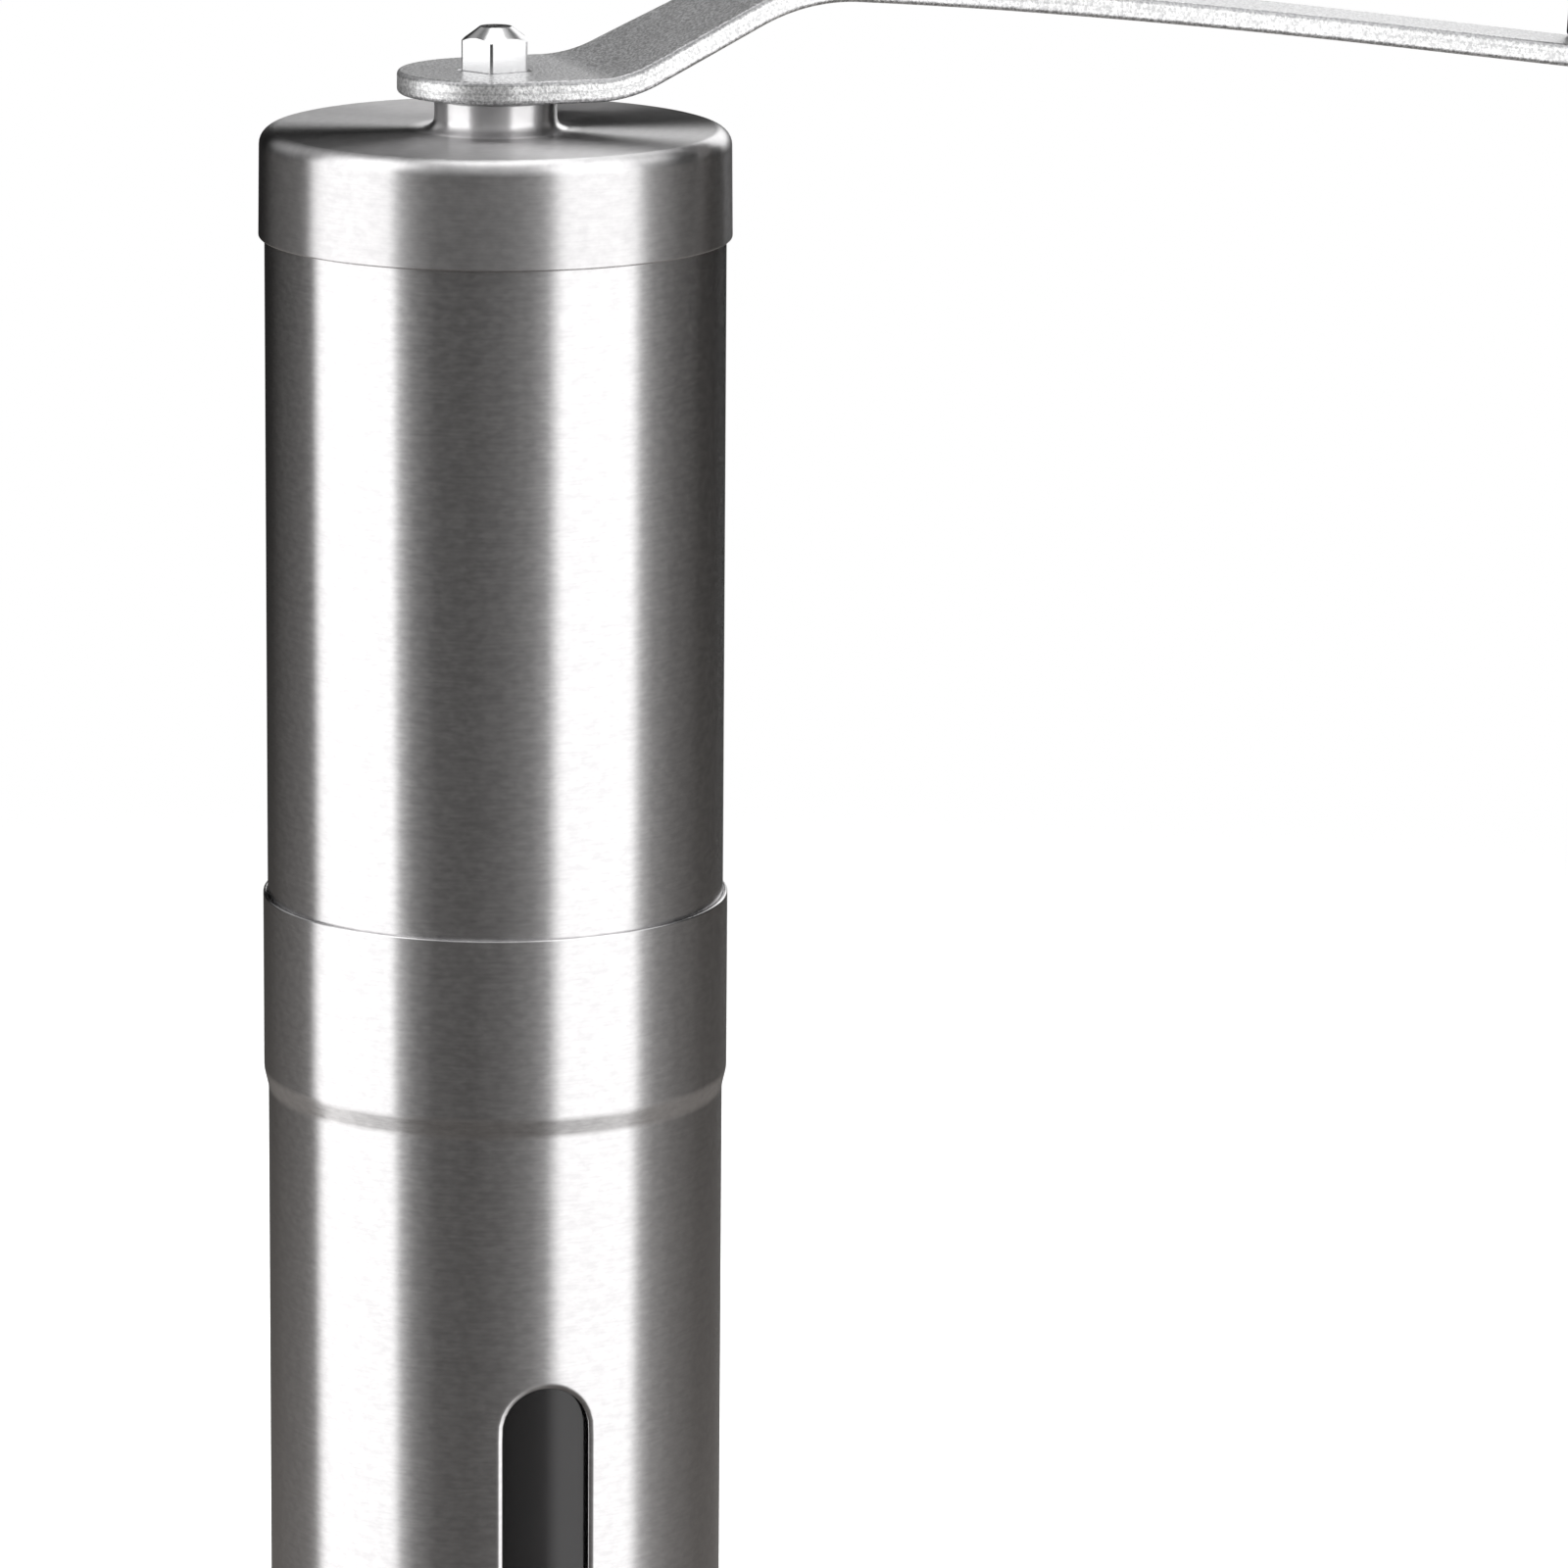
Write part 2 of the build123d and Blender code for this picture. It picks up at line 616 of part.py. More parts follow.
PIECES = {
    "cup_shell": make_cup_shell,
    "window_liner": make_window_liner,
    "hopper_tube": make_hopper_tube,
    "bean_frame": make_bean_frame,
    "upper_bush": make_upper_bush,
    "lower_bush": make_lower_bush,
    "outer_burr": make_outer_burr,
    "burr_holder": make_burr_holder,
    "lid_shell": make_lid_shell,
    "drive_shaft": make_drive_shaft,
    "shoulder_washer": make_shoulder_washer,
    "thrust_washer": make_thrust_washer,
    "pressure_spring": make_pressure_spring,
    "inner_burr": make_inner_burr,
    "burr_hub": make_burr_hub,
    "spring_seat": make_spring_seat,
    "adjusting_dial": make_adjusting_dial,
    "dial_insert": make_dial_insert,
    "crank_arm": make_crank_arm,
    "knob_pin": make_knob_pin,
    "knob_washer": make_knob_washer,
    "knob_grip": make_knob_grip,
    "knob_cap": make_knob_cap,
}

for name, make in PIECES.items():
    export_step(make(), f"parts/{name}.step")

print("knob frame", knob_plane().origin, knob_plane().z_dir)
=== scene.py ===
"""Looks of the hand crank coffee grinder: fine meshes, procedural finishes, light and camera."""

import json
import math

import bmesh
import bpy
from mathutils import Matrix, Vector


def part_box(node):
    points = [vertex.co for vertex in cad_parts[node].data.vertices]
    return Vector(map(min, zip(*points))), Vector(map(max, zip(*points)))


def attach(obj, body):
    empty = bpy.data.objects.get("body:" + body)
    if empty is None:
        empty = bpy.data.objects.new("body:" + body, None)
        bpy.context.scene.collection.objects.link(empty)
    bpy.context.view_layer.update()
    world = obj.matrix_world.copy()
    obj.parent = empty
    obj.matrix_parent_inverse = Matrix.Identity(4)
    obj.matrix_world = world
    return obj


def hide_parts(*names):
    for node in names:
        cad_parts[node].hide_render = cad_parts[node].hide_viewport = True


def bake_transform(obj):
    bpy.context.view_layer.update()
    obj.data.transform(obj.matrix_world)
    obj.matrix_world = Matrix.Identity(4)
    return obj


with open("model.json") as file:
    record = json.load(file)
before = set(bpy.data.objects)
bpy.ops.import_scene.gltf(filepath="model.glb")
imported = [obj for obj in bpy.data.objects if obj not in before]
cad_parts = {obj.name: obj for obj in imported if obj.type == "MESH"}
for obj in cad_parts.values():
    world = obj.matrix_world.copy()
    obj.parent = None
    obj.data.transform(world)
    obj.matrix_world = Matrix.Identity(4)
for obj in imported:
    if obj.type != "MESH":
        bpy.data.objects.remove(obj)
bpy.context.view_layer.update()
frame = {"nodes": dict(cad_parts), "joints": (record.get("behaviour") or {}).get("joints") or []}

MM = 0.001
WELD = 1e-6

# Faces round the axis, the widest turn of one face of an arc, and the least turn of a crisp edge
STEPS = 192
ARC_STEP = math.radians(12)
SHARP = math.radians(35)

# ---------------------------------------------------------------------------------------------
# Sizes, in millimetres, read from the frame where it states them
# ---------------------------------------------------------------------------------------------


def low(node):
    """Lowest corner of a CAD node, in millimetres."""
    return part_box(node)[0] / MM


def high(node):
    """Highest corner of a CAD node, in millimetres."""
    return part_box(node)[1] / MM


SHEET = 0.4
TUBE_R = high("hopper_tube").x
TUBE_LOW = low("hopper_tube").z
TUBE_TOP = high("hopper_tube").z
RIM_ROUND = 0.17

MOUTH_R = high("cup_shell").x
MOUTH_TOP = high("cup_shell").z
STEP_LOW = 89.8
STEP_HIGH = 91.7
STEP_ROUND = 3.0
CUP_FLOOR = 0.6
CUP_CORNER = 2.5
SLOT_WIDTH = 8.8
SLOT_LOW = 15.5
SLOT_HIGH = 63.8
SLOT_AZIMUTH = math.radians(-94.0)

# Edge of the slot: how far and how steeply each skin rolls in towards it, and the round of the cut
ROLL_REACH = 0.72
ROLL_ANGLE = math.radians(34.0)
CUT_ROUND = 0.06
INNER_REACH = 2 * CUT_ROUND
INNER_ANGLE = math.radians(10.0)
ROLL_STEPS = 6
CUT_STEPS = 3

# Patch of the wall round the slot, with its faces each side of the middle, up it, and in to the edge
PATCH_LOW = 9.0
PATCH_HIGH = 70.0
PATCH_COLUMNS = 10
PATCH_ROWS = 32
PATCH_RINGS = 5

LID_SHEET = 0.45
LID_R = high("lid_shell").x
LID_TOP_R = 23.48
LID_LOW = low("lid_shell").z
NECK_TOP = high("lid_shell").z
LID_TOP = NECK_TOP - 3.0
LID_CORNER = 1.6
LID_EDGE_ROUND = 0.2
NECK_R = 6.1
NECK_FLARE = 1.2
NECK_INSIDE_ROUND = 0.3

LINER_RIM_R = high("window_liner").x
LINER_R = 22.1
LINER_RIM = 3.0
LINER_LOW = low("window_liner").z
LINER_TOP = high("window_liner").z
LINER_WALL = 1.2
LINER_FLOOR = 1.6
LINER_FLOOR_ROUND = 1.0
LINER_LIP_ROUNDS = (0.4, 0.3)
LINER_EDGE_ROUND = 0.15

ARM_THICK = 2.3
ARM_ROUND = 0.45
PLATE_PLACE = "plate_place"


# ---------------------------------------------------------------------------------------------
# Meshes
# ---------------------------------------------------------------------------------------------


def rounded(outline, closed=True):
    """Points (radius, height, corner radius) as a smooth outline, with an arc at each rounded corner."""
    points = []
    count = len(outline)
    for index, (radius, height, corner) in enumerate(outline):
        here = Vector((radius, height))
        at_end = not closed and index in (0, count - 1)
        if corner == 0 or at_end:
            points.append(here)
            continue
        to_before = (Vector(outline[index - 1][:2]) - here).normalized()
        to_after = (Vector(outline[(index + 1) % count][:2]) - here).normalized()
        half = to_before.angle(to_after) / 2
        centre = here + (to_before + to_after).normalized() * (corner / math.sin(half))
        start = here + to_before * (corner / math.tan(half)) - centre
        end = here + to_after * (corner / math.tan(half)) - centre
        sweep = math.atan2(start.x * end.y - start.y * end.x, start.dot(end))
        pieces = max(2, math.ceil(abs(sweep) / ARC_STEP))
        for step in range(pieces + 1):
            points.append(centre + Matrix.Rotation(sweep * step / pieces, 2) @ start)
    return points


def on_axis(radius, height, angle):
    """A point in metres from its radius and height in millimetres and its azimuth."""
    return Vector((radius * math.cos(angle), radius * math.sin(angle), height)) * MM


def add_grid(work, rings, wrap=True):
    """Joins rows of vertices with faces. A row of one vertex is a pole."""
    for lower, upper in zip(rings, rings[1:]):
        count = max(len(lower), len(upper))
        for index in range(count if wrap else count - 1):
            after = (index + 1) % count
            if len(lower) == 1:
                work.faces.new((lower[0], upper[after], upper[index]))
            elif len(upper) == 1:
                work.faces.new((lower[index], lower[after], upper[0]))
            else:
                work.faces.new((lower[index], lower[after], upper[after], upper[index]))


def add_lathe(work, points, closed=True, start=0.0):
    """Turns an outline about the axis."""
    rings = []
    for point in points:
        around = 1 if point.x < WELD else STEPS
        angles = [start + 2 * math.pi * index / STEPS for index in range(around)]
        rings.append([work.verts.new(on_axis(point.x, point.y, angle)) for angle in angles])
    if closed and len(rings[0]) > 1:
        rings.append(rings[0])
    add_grid(work, rings)


def finish_mesh(work, name, body, slot, replaced, finish=None, place=None, stretch=None):
    """Welds, smooths and names a mesh, and puts it on its body in place of a CAD node.

    finish is its material, where that isn't the one named like its slot. stretch is (other body,
    start, end) for a piece that runs from one body to another. Where stretch is given, the piece stays
    off its body, with its place baked into the mesh, and the other body, start and end are not used.
    """
    bmesh.ops.remove_doubles(work, verts=work.verts, dist=WELD)
    bmesh.ops.recalc_face_normals(work, faces=work.faces)
    mesh = bpy.data.meshes.new(name)
    work.to_mesh(mesh)
    work.free()
    mesh.shade_smooth()
    mesh.set_sharp_from_angle(angle=SHARP)
    if place is not None:
        mesh.transform(place)
    piece = bpy.data.objects.new(name, mesh)
    bpy.context.scene.collection.objects.link(piece)
    weighted = piece.modifiers.new("weighted_normals", "WEIGHTED_NORMAL")
    weighted.keep_sharp = True
    mesh.materials.append(MATERIALS[finish or slot])
    if stretch is None:
        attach(piece, body)
    else:
        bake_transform(piece)
    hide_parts(replaced)


def turned_piece(name, body, slot, replaced, outline, closed=True, finish=None, place=None):
    """A piece turned from one outline of (radius, height, corner radius) points."""
    work = bmesh.new()
    add_lathe(work, rounded(outline, closed), closed)
    finish_mesh(work, name, body, slot, replaced, finish, place)


# ---------------------------------------------------------------------------------------------
# Materials
# ---------------------------------------------------------------------------------------------


def add_node(tree, kind, inputs=(), **settings):
    """Adds a shader node, sets it, and links or sets its inputs. Returns its first output, if any."""
    made = tree.nodes.new("ShaderNode" + kind)
    for key, value in settings.items():
        setattr(made, key, value)
    for socket, value in dict(inputs).items():
        if isinstance(value, bpy.types.NodeSocket):
            tree.links.new(value, made.inputs[socket])
        else:
            made.inputs[socket].default_value = value
    return made.outputs[0] if made.outputs else None


def math_node(tree, operation, *values):
    """One arithmetic node."""
    return add_node(tree, "Math", dict(enumerate(values)), operation=operation)


def map_range(tree, value, from_low, from_high, to_low, to_high):
    """Maps a value from one range to another, clamped."""
    inputs = {0: value, 1: from_low, 2: from_high, 3: to_low, 4: to_high}
    return add_node(tree, "MapRange", inputs)


def smooth_range(tree, value, from_low, from_high, to_low, to_high):
    """Maps a value from one range to another with eased ends."""
    inputs = {0: value, 1: from_low, 2: from_high, 3: to_low, 4: to_high}
    return add_node(tree, "MapRange", inputs, interpolation_type="SMOOTHSTEP")


def mix_colours(tree, share, first, second):
    """Mixes two colours by a share."""
    mix = tree.nodes.new("ShaderNodeMix")
    mix.data_type = "RGBA"
    tree.links.new(share, mix.inputs[0])
    for socket, colour in ((6, first), (7, second)):
        if isinstance(colour, bpy.types.NodeSocket):
            tree.links.new(colour, mix.inputs[socket])
        else:
            mix.inputs[socket].default_value = (*colour, 1)
    return mix.outputs[2]


def new_material(name, metallic, **constants):
    """A material with a principled shader whose constant inputs are set. Returns it and the shader."""
    made = bpy.data.materials.new(name)
    made.use_nodes = True
    shader = made.node_tree.nodes["Principled BSDF"]
    shader.inputs["Metallic"].default_value = metallic
    for key, value in constants.items():
        shader.inputs[key.replace("_", " ")].default_value = value
    return made, made.node_tree, shader


def coordinates(tree, kind):
    """One of the texture coordinates. Object is the place in the object's frame, in metres."""
    return tree.nodes.new("ShaderNodeTexCoord").outputs[kind]


def parts_of(tree, vector):
    """The X, Y and Z of a vector."""
    split = tree.nodes.new("ShaderNodeSeparateXYZ")
    tree.links.new(vector, split.inputs[0])
    return tuple(split.outputs)


def noise(tree, place, scale, detail=2.0, roughness=0.5):
    """Smooth noise at a place."""
    inputs = {"Vector": place, "Scale": scale, "Detail": detail, "Roughness": roughness}
    return add_node(tree, "TexNoise", inputs)


def bump(tree, shader, height, distance):
    """Raises the surface by height times distance, in metres."""
    normal = add_node(tree, "Bump", {"Height": height, "Distance": distance, "Strength": 1.0})
    tree.links.new(normal, shader.inputs["Normal"])


def vary_colour(tree, shader, share, first, second):
    """Mixes the base colour from two by a share."""
    tree.links.new(mix_colours(tree, share, first, second), shader.inputs["Base Color"])


def vary_gloss(tree, shader, pattern, low_gloss, high_gloss):
    """Lets the roughness follow a noise from one value to another."""
    rough = map_range(tree, pattern, *NOISE_RANGE, low_gloss, high_gloss)
    tree.links.new(rough, shader.inputs["Roughness"])


def weighted_sum(tree, first, first_weight, second, second_weight):
    """Adds two values, each times its weight."""
    first_term = math_node(tree, "MULTIPLY", first, first_weight)
    return math_node(tree, "ADD", first_term, math_node(tree, "MULTIPLY", second, second_weight))


def radius_from_axis(tree):
    """Distance from the object's upright axis."""
    x, y, _ = parts_of(tree, coordinates(tree, "Object"))
    squared = math_node(tree, "ADD", math_node(tree, "POWER", x, 2.0), math_node(tree, "POWER", y, 2.0))
    return math_node(tree, "SQRT", squared)


def streaks(tree, around, across, detail, roughness):
    """Noise in streaks, which changes slowly round the axis and fast up it, or outwards on a flat end.

    around and across are how often it changes in a metre.
    """
    x, y, z = parts_of(tree, coordinates(tree, "Object"))
    side = math_node(tree, "MULTIPLY", x, around)
    ahead = math_node(tree, "MULTIPLY", y, around)
    rise = math_node(tree, "MULTIPLY", math_node(tree, "ADD", z, radius_from_axis(tree)), across)
    place = add_node(tree, "CombineXYZ", {0: side, 1: ahead, 2: rise})
    return noise(tree, place, 1.0, detail, roughness)


# Where plain noise has most of its values
NOISE_RANGE = (0.3, 0.7)

# Brushed steel: the colours that walls and flat ends vary between, the flat ends darker as painted
# shade, and the pale colour painted on the neck as a painted highlight
WALL_COLOURS = ((0.585, 0.577, 0.583), (0.690, 0.682, 0.686))
SHADED_END_COLOURS = ((0.45, 0.444, 0.448), (0.53, 0.523, 0.527))
NECK_HIGHLIGHT_COLOUR = (0.90, 0.89, 0.893)

# Radii in metres between which the neck's painted highlight ends, and height of the normal between which
# walls turn into flat ends with their painted shade and the scratches fade out
NECK_HIGHLIGHT_EDGE = (0.0075, 0.0090)
END_SHADE_TILT = (0.97, 0.999)
SCRATCH_TILT = (0.3, 0.9)

# How far the roughness of brushed steel drifts each way, and the depth of its scratches in metres
GLOSS_DRIFT = 0.02
SCRATCH_DEPTH = 5e-7

# Patterns of brushed steel: how often each changes in a metre round the tube and up it, its detail and
# its roughness. Then their weights, and the range of the sum that the colours follow
FINE_STREAKS = (300.0, 4300.0, 3.0, 0.6)
BROAD_STREAKS = (35.0, 900.0, 2.0, 0.5)
BLOTCHES = (850.0, 1400.0, 2.0, 0.55)
FINE_WEIGHT = 0.35
BROAD_WEIGHT = 0.1
BLOTCH_WEIGHT = 0.55
GRAIN_RANGE = (0.38, 0.62)

# Turned steel and brass: colours, roughness and tool rings, with the rings given like the streaks
TURNED_COLOURS = ((0.62, 0.62, 0.625), (0.74, 0.74, 0.745))
TURNED_GLOSS = (0.16, 0.26)
TURNED_RINGS = (40.0, 9000.0, 2.0, 0.5)
BRASS_COLOURS = ((0.62, 0.42, 0.16), (0.80, 0.58, 0.27))
BRASS_GLOSS = (0.22, 0.36)
BRASS_RINGS = (60.0, 7000.0, 2.0, 0.5)

CERAMIC_COLOURS = ((0.74, 0.72, 0.67), (0.86, 0.85, 0.82))
CERAMIC_GLOSS = (0.42, 0.58)

# Tumbled steel: the colours that its faces and cut sides vary between, the cut sides lighter as a
# painted highlight, and the colour of the painted shade on its rounds
FACE_COLOURS = ((0.34, 0.34, 0.345), (0.70, 0.70, 0.705))
LIT_SIDE_COLOURS = ((0.62, 0.62, 0.625), (0.98, 0.98, 0.98))
ROUND_SHADE_COLOUR = (0.22, 0.22, 0.225)

# How dark the painted shade on the rounds and the painted dark streaks on the sides get, and in
# millimetres of depth, how softly the painted shade comes in from the side, how near the face it goes
# out, and how softly the lit sides end
ROUND_SHADE_SHARE = 0.65
STREAK_REFLECTION_SHARE = 0.28
ROUND_SHADE_FADE_IN = 0.2
ROUND_SHADE_FADE_OUT = (0.08, 0.01)
LIT_SIDE_FADE = 0.05

# How often the painted dark streaks on the sides, a painted reflection, change in a millimetre along,
# across and through the plate
STREAK_REFLECTION_SCALES = (0.03, 0.03, 2.6)

# Roughness of tumbled steel, and what wear adds
TUMBLED_GLOSS = (0.28, 0.34)
TUMBLED_WEAR = 0.05


def brushed_steel(name, gloss, neck):
    """Stainless sheet brushed round the tube: fine streaks, wide gloss up and narrow round, and flat
    ends painted darker as painted shade.

    gloss is the roughness. neck is 1 where the neck is painted paler than the sheet round it, a painted
    highlight, or else 0.
    """
    made, tree, shader = new_material(name, 1.0, Anisotropic=1.0, Anisotropic_Rotation=0.25)
    fine = streaks(tree, *FINE_STREAKS)
    broad = streaks(tree, *BROAD_STREAKS)
    blotch = streaks(tree, *BLOTCHES)
    scratches = weighted_sum(tree, fine, FINE_WEIGHT, broad, BROAD_WEIGHT)
    grain = weighted_sum(tree, scratches, 1.0, blotch, BLOTCH_WEIGHT)
    share = map_range(tree, grain, *GRAIN_RANGE, 0.0, 1.0)
    *_, upright = parts_of(tree, coordinates(tree, "Normal"))
    level = math_node(tree, "ABSOLUTE", upright)
    # Flat ends take darker colours: painted shade.
    shaded_end = smooth_range(tree, level, *END_SHADE_TILT, 0.0, 1.0)
    # The neck takes a pale colour: a painted highlight.
    neck_highlight = smooth_range(tree, radius_from_axis(tree), *NECK_HIGHLIGHT_EDGE, neck, 0.0)
    walls = mix_colours(tree, share, *WALL_COLOURS)
    ends = mix_colours(tree, share, *SHADED_END_COLOURS)
    sheet = mix_colours(tree, shaded_end, walls, ends)
    vary_colour(tree, shader, neck_highlight, sheet, NECK_HIGHLIGHT_COLOUR)
    vary_gloss(tree, shader, grain, gloss - GLOSS_DRIFT, gloss + GLOSS_DRIFT)
    depth = smooth_range(tree, level, *SCRATCH_TILT, 1.0, 0.0)
    bump(tree, shader, math_node(tree, "MULTIPLY", scratches, depth), SCRATCH_DEPTH)
    return made


def turned_steel():
    """Bright turned steel, with fine tool rings."""
    made, tree, shader = new_material("turned_steel", 1.0, Anisotropic=0.4, Anisotropic_Rotation=0.25)
    rings = streaks(tree, *TURNED_RINGS)
    stains = noise(tree, coordinates(tree, "Object"), 260.0, 3.0)
    vary_colour(tree, shader, stains, *TURNED_COLOURS)
    vary_gloss(tree, shader, rings, *TURNED_GLOSS)
    bump(tree, shader, rings, 3e-6)
    return made


def tumbled_steel():
    """Pressed plate tumbled in stones: a fine grain of dents, and painted shade on the rounds along its
    faces.

    Its cut sides are painted lighter, a painted highlight, with faint dark streaks along them, a painted
    reflection. The mesh attribute
    PLATE_PLACE gives the place in the flat plate, with the depth from its middle.
    """
    made, tree, shader = new_material("tumbled_steel", 0.8)
    grain = noise(tree, coordinates(tree, "Object"), 3300.0, 3.0, 0.6)
    cloud = noise(tree, coordinates(tree, "Object"), 210.0, 3.0, 0.55)
    flat_place = add_node(tree, "Attribute", attribute_name=PLATE_PLACE)
    *_, depth = parts_of(tree, flat_place)
    face = ARM_THICK / 2
    side = face - ARM_ROUND
    outer, inner = ROUND_SHADE_FADE_OUT
    # The rounds between faces and sides are painted dark: painted shade.
    from_side = smooth_range(tree, depth, side, side + ROUND_SHADE_FADE_IN, 0.0, ROUND_SHADE_SHARE)
    from_face = smooth_range(tree, depth, face - outer, face - inner, 1.0, 0.0)
    rounds = math_node(tree, "MULTIPLY", from_side, from_face)
    off_middle = math_node(tree, "ABSOLUTE", depth)
    # The cut sides are painted lighter: a painted highlight.
    on_lit_side = smooth_range(tree, off_middle, side - LIT_SIDE_FADE, side + LIT_SIDE_FADE, 1.0, 0.0)
    # Dark noise streaks on the cut sides: a painted dark reflection.
    stretched = add_node(tree, "VectorMath", {0: flat_place, 1: STREAK_REFLECTION_SCALES}, operation="MULTIPLY")
    painted_streak_reflection = map_range(tree, noise(tree, stretched, 1.0, 3.0, 0.6), 0.50, 0.62, 0.0, STREAK_REFLECTION_SHARE)
    # Painted shade on the rounds and painted dark reflection on the sides.
    dark = math_node(tree, "MAXIMUM", rounds, math_node(tree, "MULTIPLY", painted_streak_reflection, on_lit_side))
    speckle = map_range(tree, grain, 0.41, 0.59, 0.0, 1.0)
    faces = mix_colours(tree, speckle, *FACE_COLOURS)
    sides = mix_colours(tree, speckle, *LIT_SIDE_COLOURS)
    plain = mix_colours(tree, on_lit_side, faces, sides)
    vary_colour(tree, shader, dark, plain, ROUND_SHADE_COLOUR)
    worn = map_range(tree, cloud, *NOISE_RANGE, 0.0, TUMBLED_WEAR)
    rough = math_node(tree, "ADD", worn, map_range(tree, grain, *NOISE_RANGE, *TUMBLED_GLOSS))
    tree.links.new(rough, shader.inputs["Roughness"])
    bump(tree, shader, grain, 5e-5)
    return made


def moulded_plastic(name, colours, glosses, grain_scale, grain_depth, **constants):
    """Moulded plastic: faint colour drift, a fine spark-eroded grain, and uneven gloss."""
    made, tree, shader = new_material(name, 0.0, **constants)
    cloud = noise(tree, coordinates(tree, "Object"), 120.0, 3.0)
    grain = noise(tree, coordinates(tree, "Object"), grain_scale)
    vary_colour(tree, shader, cloud, *colours)
    vary_gloss(tree, shader, cloud, *glosses)
    bump(tree, shader, grain, grain_depth)
    return made


def ceramic():
    """Fired ceramic: off-white, slightly mottled, with a sandy skin."""
    made, tree, shader = new_material("white_ceramic", 0.0)
    mottle = noise(tree, coordinates(tree, "Object"), 320.0, 4.0, 0.6)
    sand = noise(tree, coordinates(tree, "Object"), 4200.0)
    vary_colour(tree, shader, mottle, *CERAMIC_COLOURS)
    vary_gloss(tree, shader, mottle, *CERAMIC_GLOSS)
    bump(tree, shader, sand, 1e-5)
    return made


def brass():
    """Machined brass with fine rings."""
    made, tree, shader = new_material("brass", 1.0)
    rings = streaks(tree, *BRASS_RINGS)
    vary_colour(tree, shader, rings, *BRASS_COLOURS)
    vary_gloss(tree, shader, rings, *BRASS_GLOSS)
    bump(tree, shader, rings, 4e-6)
    return made


BLACK = ((0.012, 0.012, 0.013), (0.022, 0.022, 0.024))
KNOB_BLACK = ((0.010, 0.010, 0.011), (0.018, 0.018, 0.019))
MILK_WHITE = ((0.72, 0.70, 0.66), (0.80, 0.79, 0.76))
# Near-black liner tint: partly the liner's smoke tint, partly painted shade for the dark inside of the
# cup
SMOKE_AND_SHADE = ((0.035, 0.033, 0.034), (0.05, 0.048, 0.049))
CLEAR = {"Transmission_Weight": 0.8, "IOR": 1.5}

MATERIALS = {
    "brushed_steel": brushed_steel("brushed_steel", 0.22, 0.0),
    # The last number puts the pale painted highlight on the lid's neck.
    "lid_steel": brushed_steel("lid_steel", 0.30, 1.0),
    "turned_steel": turned_steel(),
    "tumbled_steel": tumbled_steel(),
    "white_ceramic": ceramic(),
    "brass": brass(),
    "black_plastic": moulded_plastic("black_plastic", BLACK, (0.38, 0.52), 3000.0, 1.2e-5),
    "white_acetal": moulded_plastic("white_acetal", MILK_WHITE, (0.30, 0.42), 1500.0, 4e-6),
    "knob_plastic": moulded_plastic("knob_plastic", KNOB_BLACK, (0.24, 0.36), 2200.0, 6e-6),
    "smoke_plastic": moulded_plastic("smoke_plastic", SMOKE_AND_SHADE, (0.05, 0.09), 600.0, 1e-6, **CLEAR),
}

# ---------------------------------------------------------------------------------------------
# Steel shells
# ---------------------------------------------------------------------------------------------


def make_hopper_tube():
    """Straight tube with softened rims."""
    bore = TUBE_R - SHEET
    outline = [
        (TUBE_R, TUBE_LOW, RIM_ROUND),
        (TUBE_R, TUBE_TOP, RIM_ROUND),
        (bore, TUBE_TOP, RIM_ROUND),
        (bore, TUBE_LOW, RIM_ROUND),
    ]
    turned_piece("hopper_tube_steel", "housing", "brushed_steel", "hopper_tube", outline)


def make_lid():
    """Pressed lid with its drawn neck."""
    bore = LID_R - LID_SHEET
    under = LID_TOP - LID_SHEET
    under_r = LID_TOP_R - LID_SHEET
    neck_bore = NECK_R - LID_SHEET
    outline = [
        (neck_bore, NECK_TOP, RIM_ROUND),
        (NECK_R, NECK_TOP, LID_EDGE_ROUND),
        (NECK_R, LID_TOP, NECK_FLARE),
        (LID_TOP_R, LID_TOP, LID_CORNER),
        (LID_R, LID_LOW, LID_EDGE_ROUND),
        (bore, LID_LOW, RIM_ROUND),
        (under_r, under, LID_CORNER - LID_SHEET),
        (neck_bore, under, NECK_INSIDE_ROUND),
    ]
    turned_piece("lid_steel", "lid", "brushed_steel", "lid_shell", outline, finish="lid_steel")


def slot_edge(across, height):
    """The point of the slot's edge that a point of the patch's border runs to."""
    middle = (SLOT_LOW + SLOT_HIGH) / 2
    half_width = SLOT_WIDTH / 2
    straight = (SLOT_HIGH - SLOT_LOW) / 2 - half_width
    if abs(height - middle) <= straight:
        return Vector((math.copysign(half_width, across), height))
    centre = Vector((0, middle + math.copysign(straight, height - middle)))
    return centre + (Vector((across, height)) - centre).normalized() * half_width


def cut_profile(roll_reach, roll_angle):
    """Section of a punched edge, as (distance from the cut, drop below the skin) points.

    The skin first rolls in towards the cut, then turns down into it over a small round.
    """
    roll_r = (roll_reach - CUT_ROUND) / math.sin(roll_angle)
    points = []
    for step in range(ROLL_STEPS + 1):
        angle = roll_angle * step / ROLL_STEPS
        points.append((roll_reach - roll_r * math.sin(angle), roll_r * (1 - math.cos(angle))))
    reach, drop = points[-1]
    round_r = CUT_ROUND / (1 - math.sin(roll_angle))
    for step in range(1, CUT_STEPS + 1):
        angle = roll_angle + (math.pi / 2 - roll_angle) * step / CUT_STEPS
        reach_here = reach - round_r * (math.sin(angle) - math.sin(roll_angle))
        points.append((reach_here, drop + round_r * (math.cos(roll_angle) - math.cos(angle))))
    return points


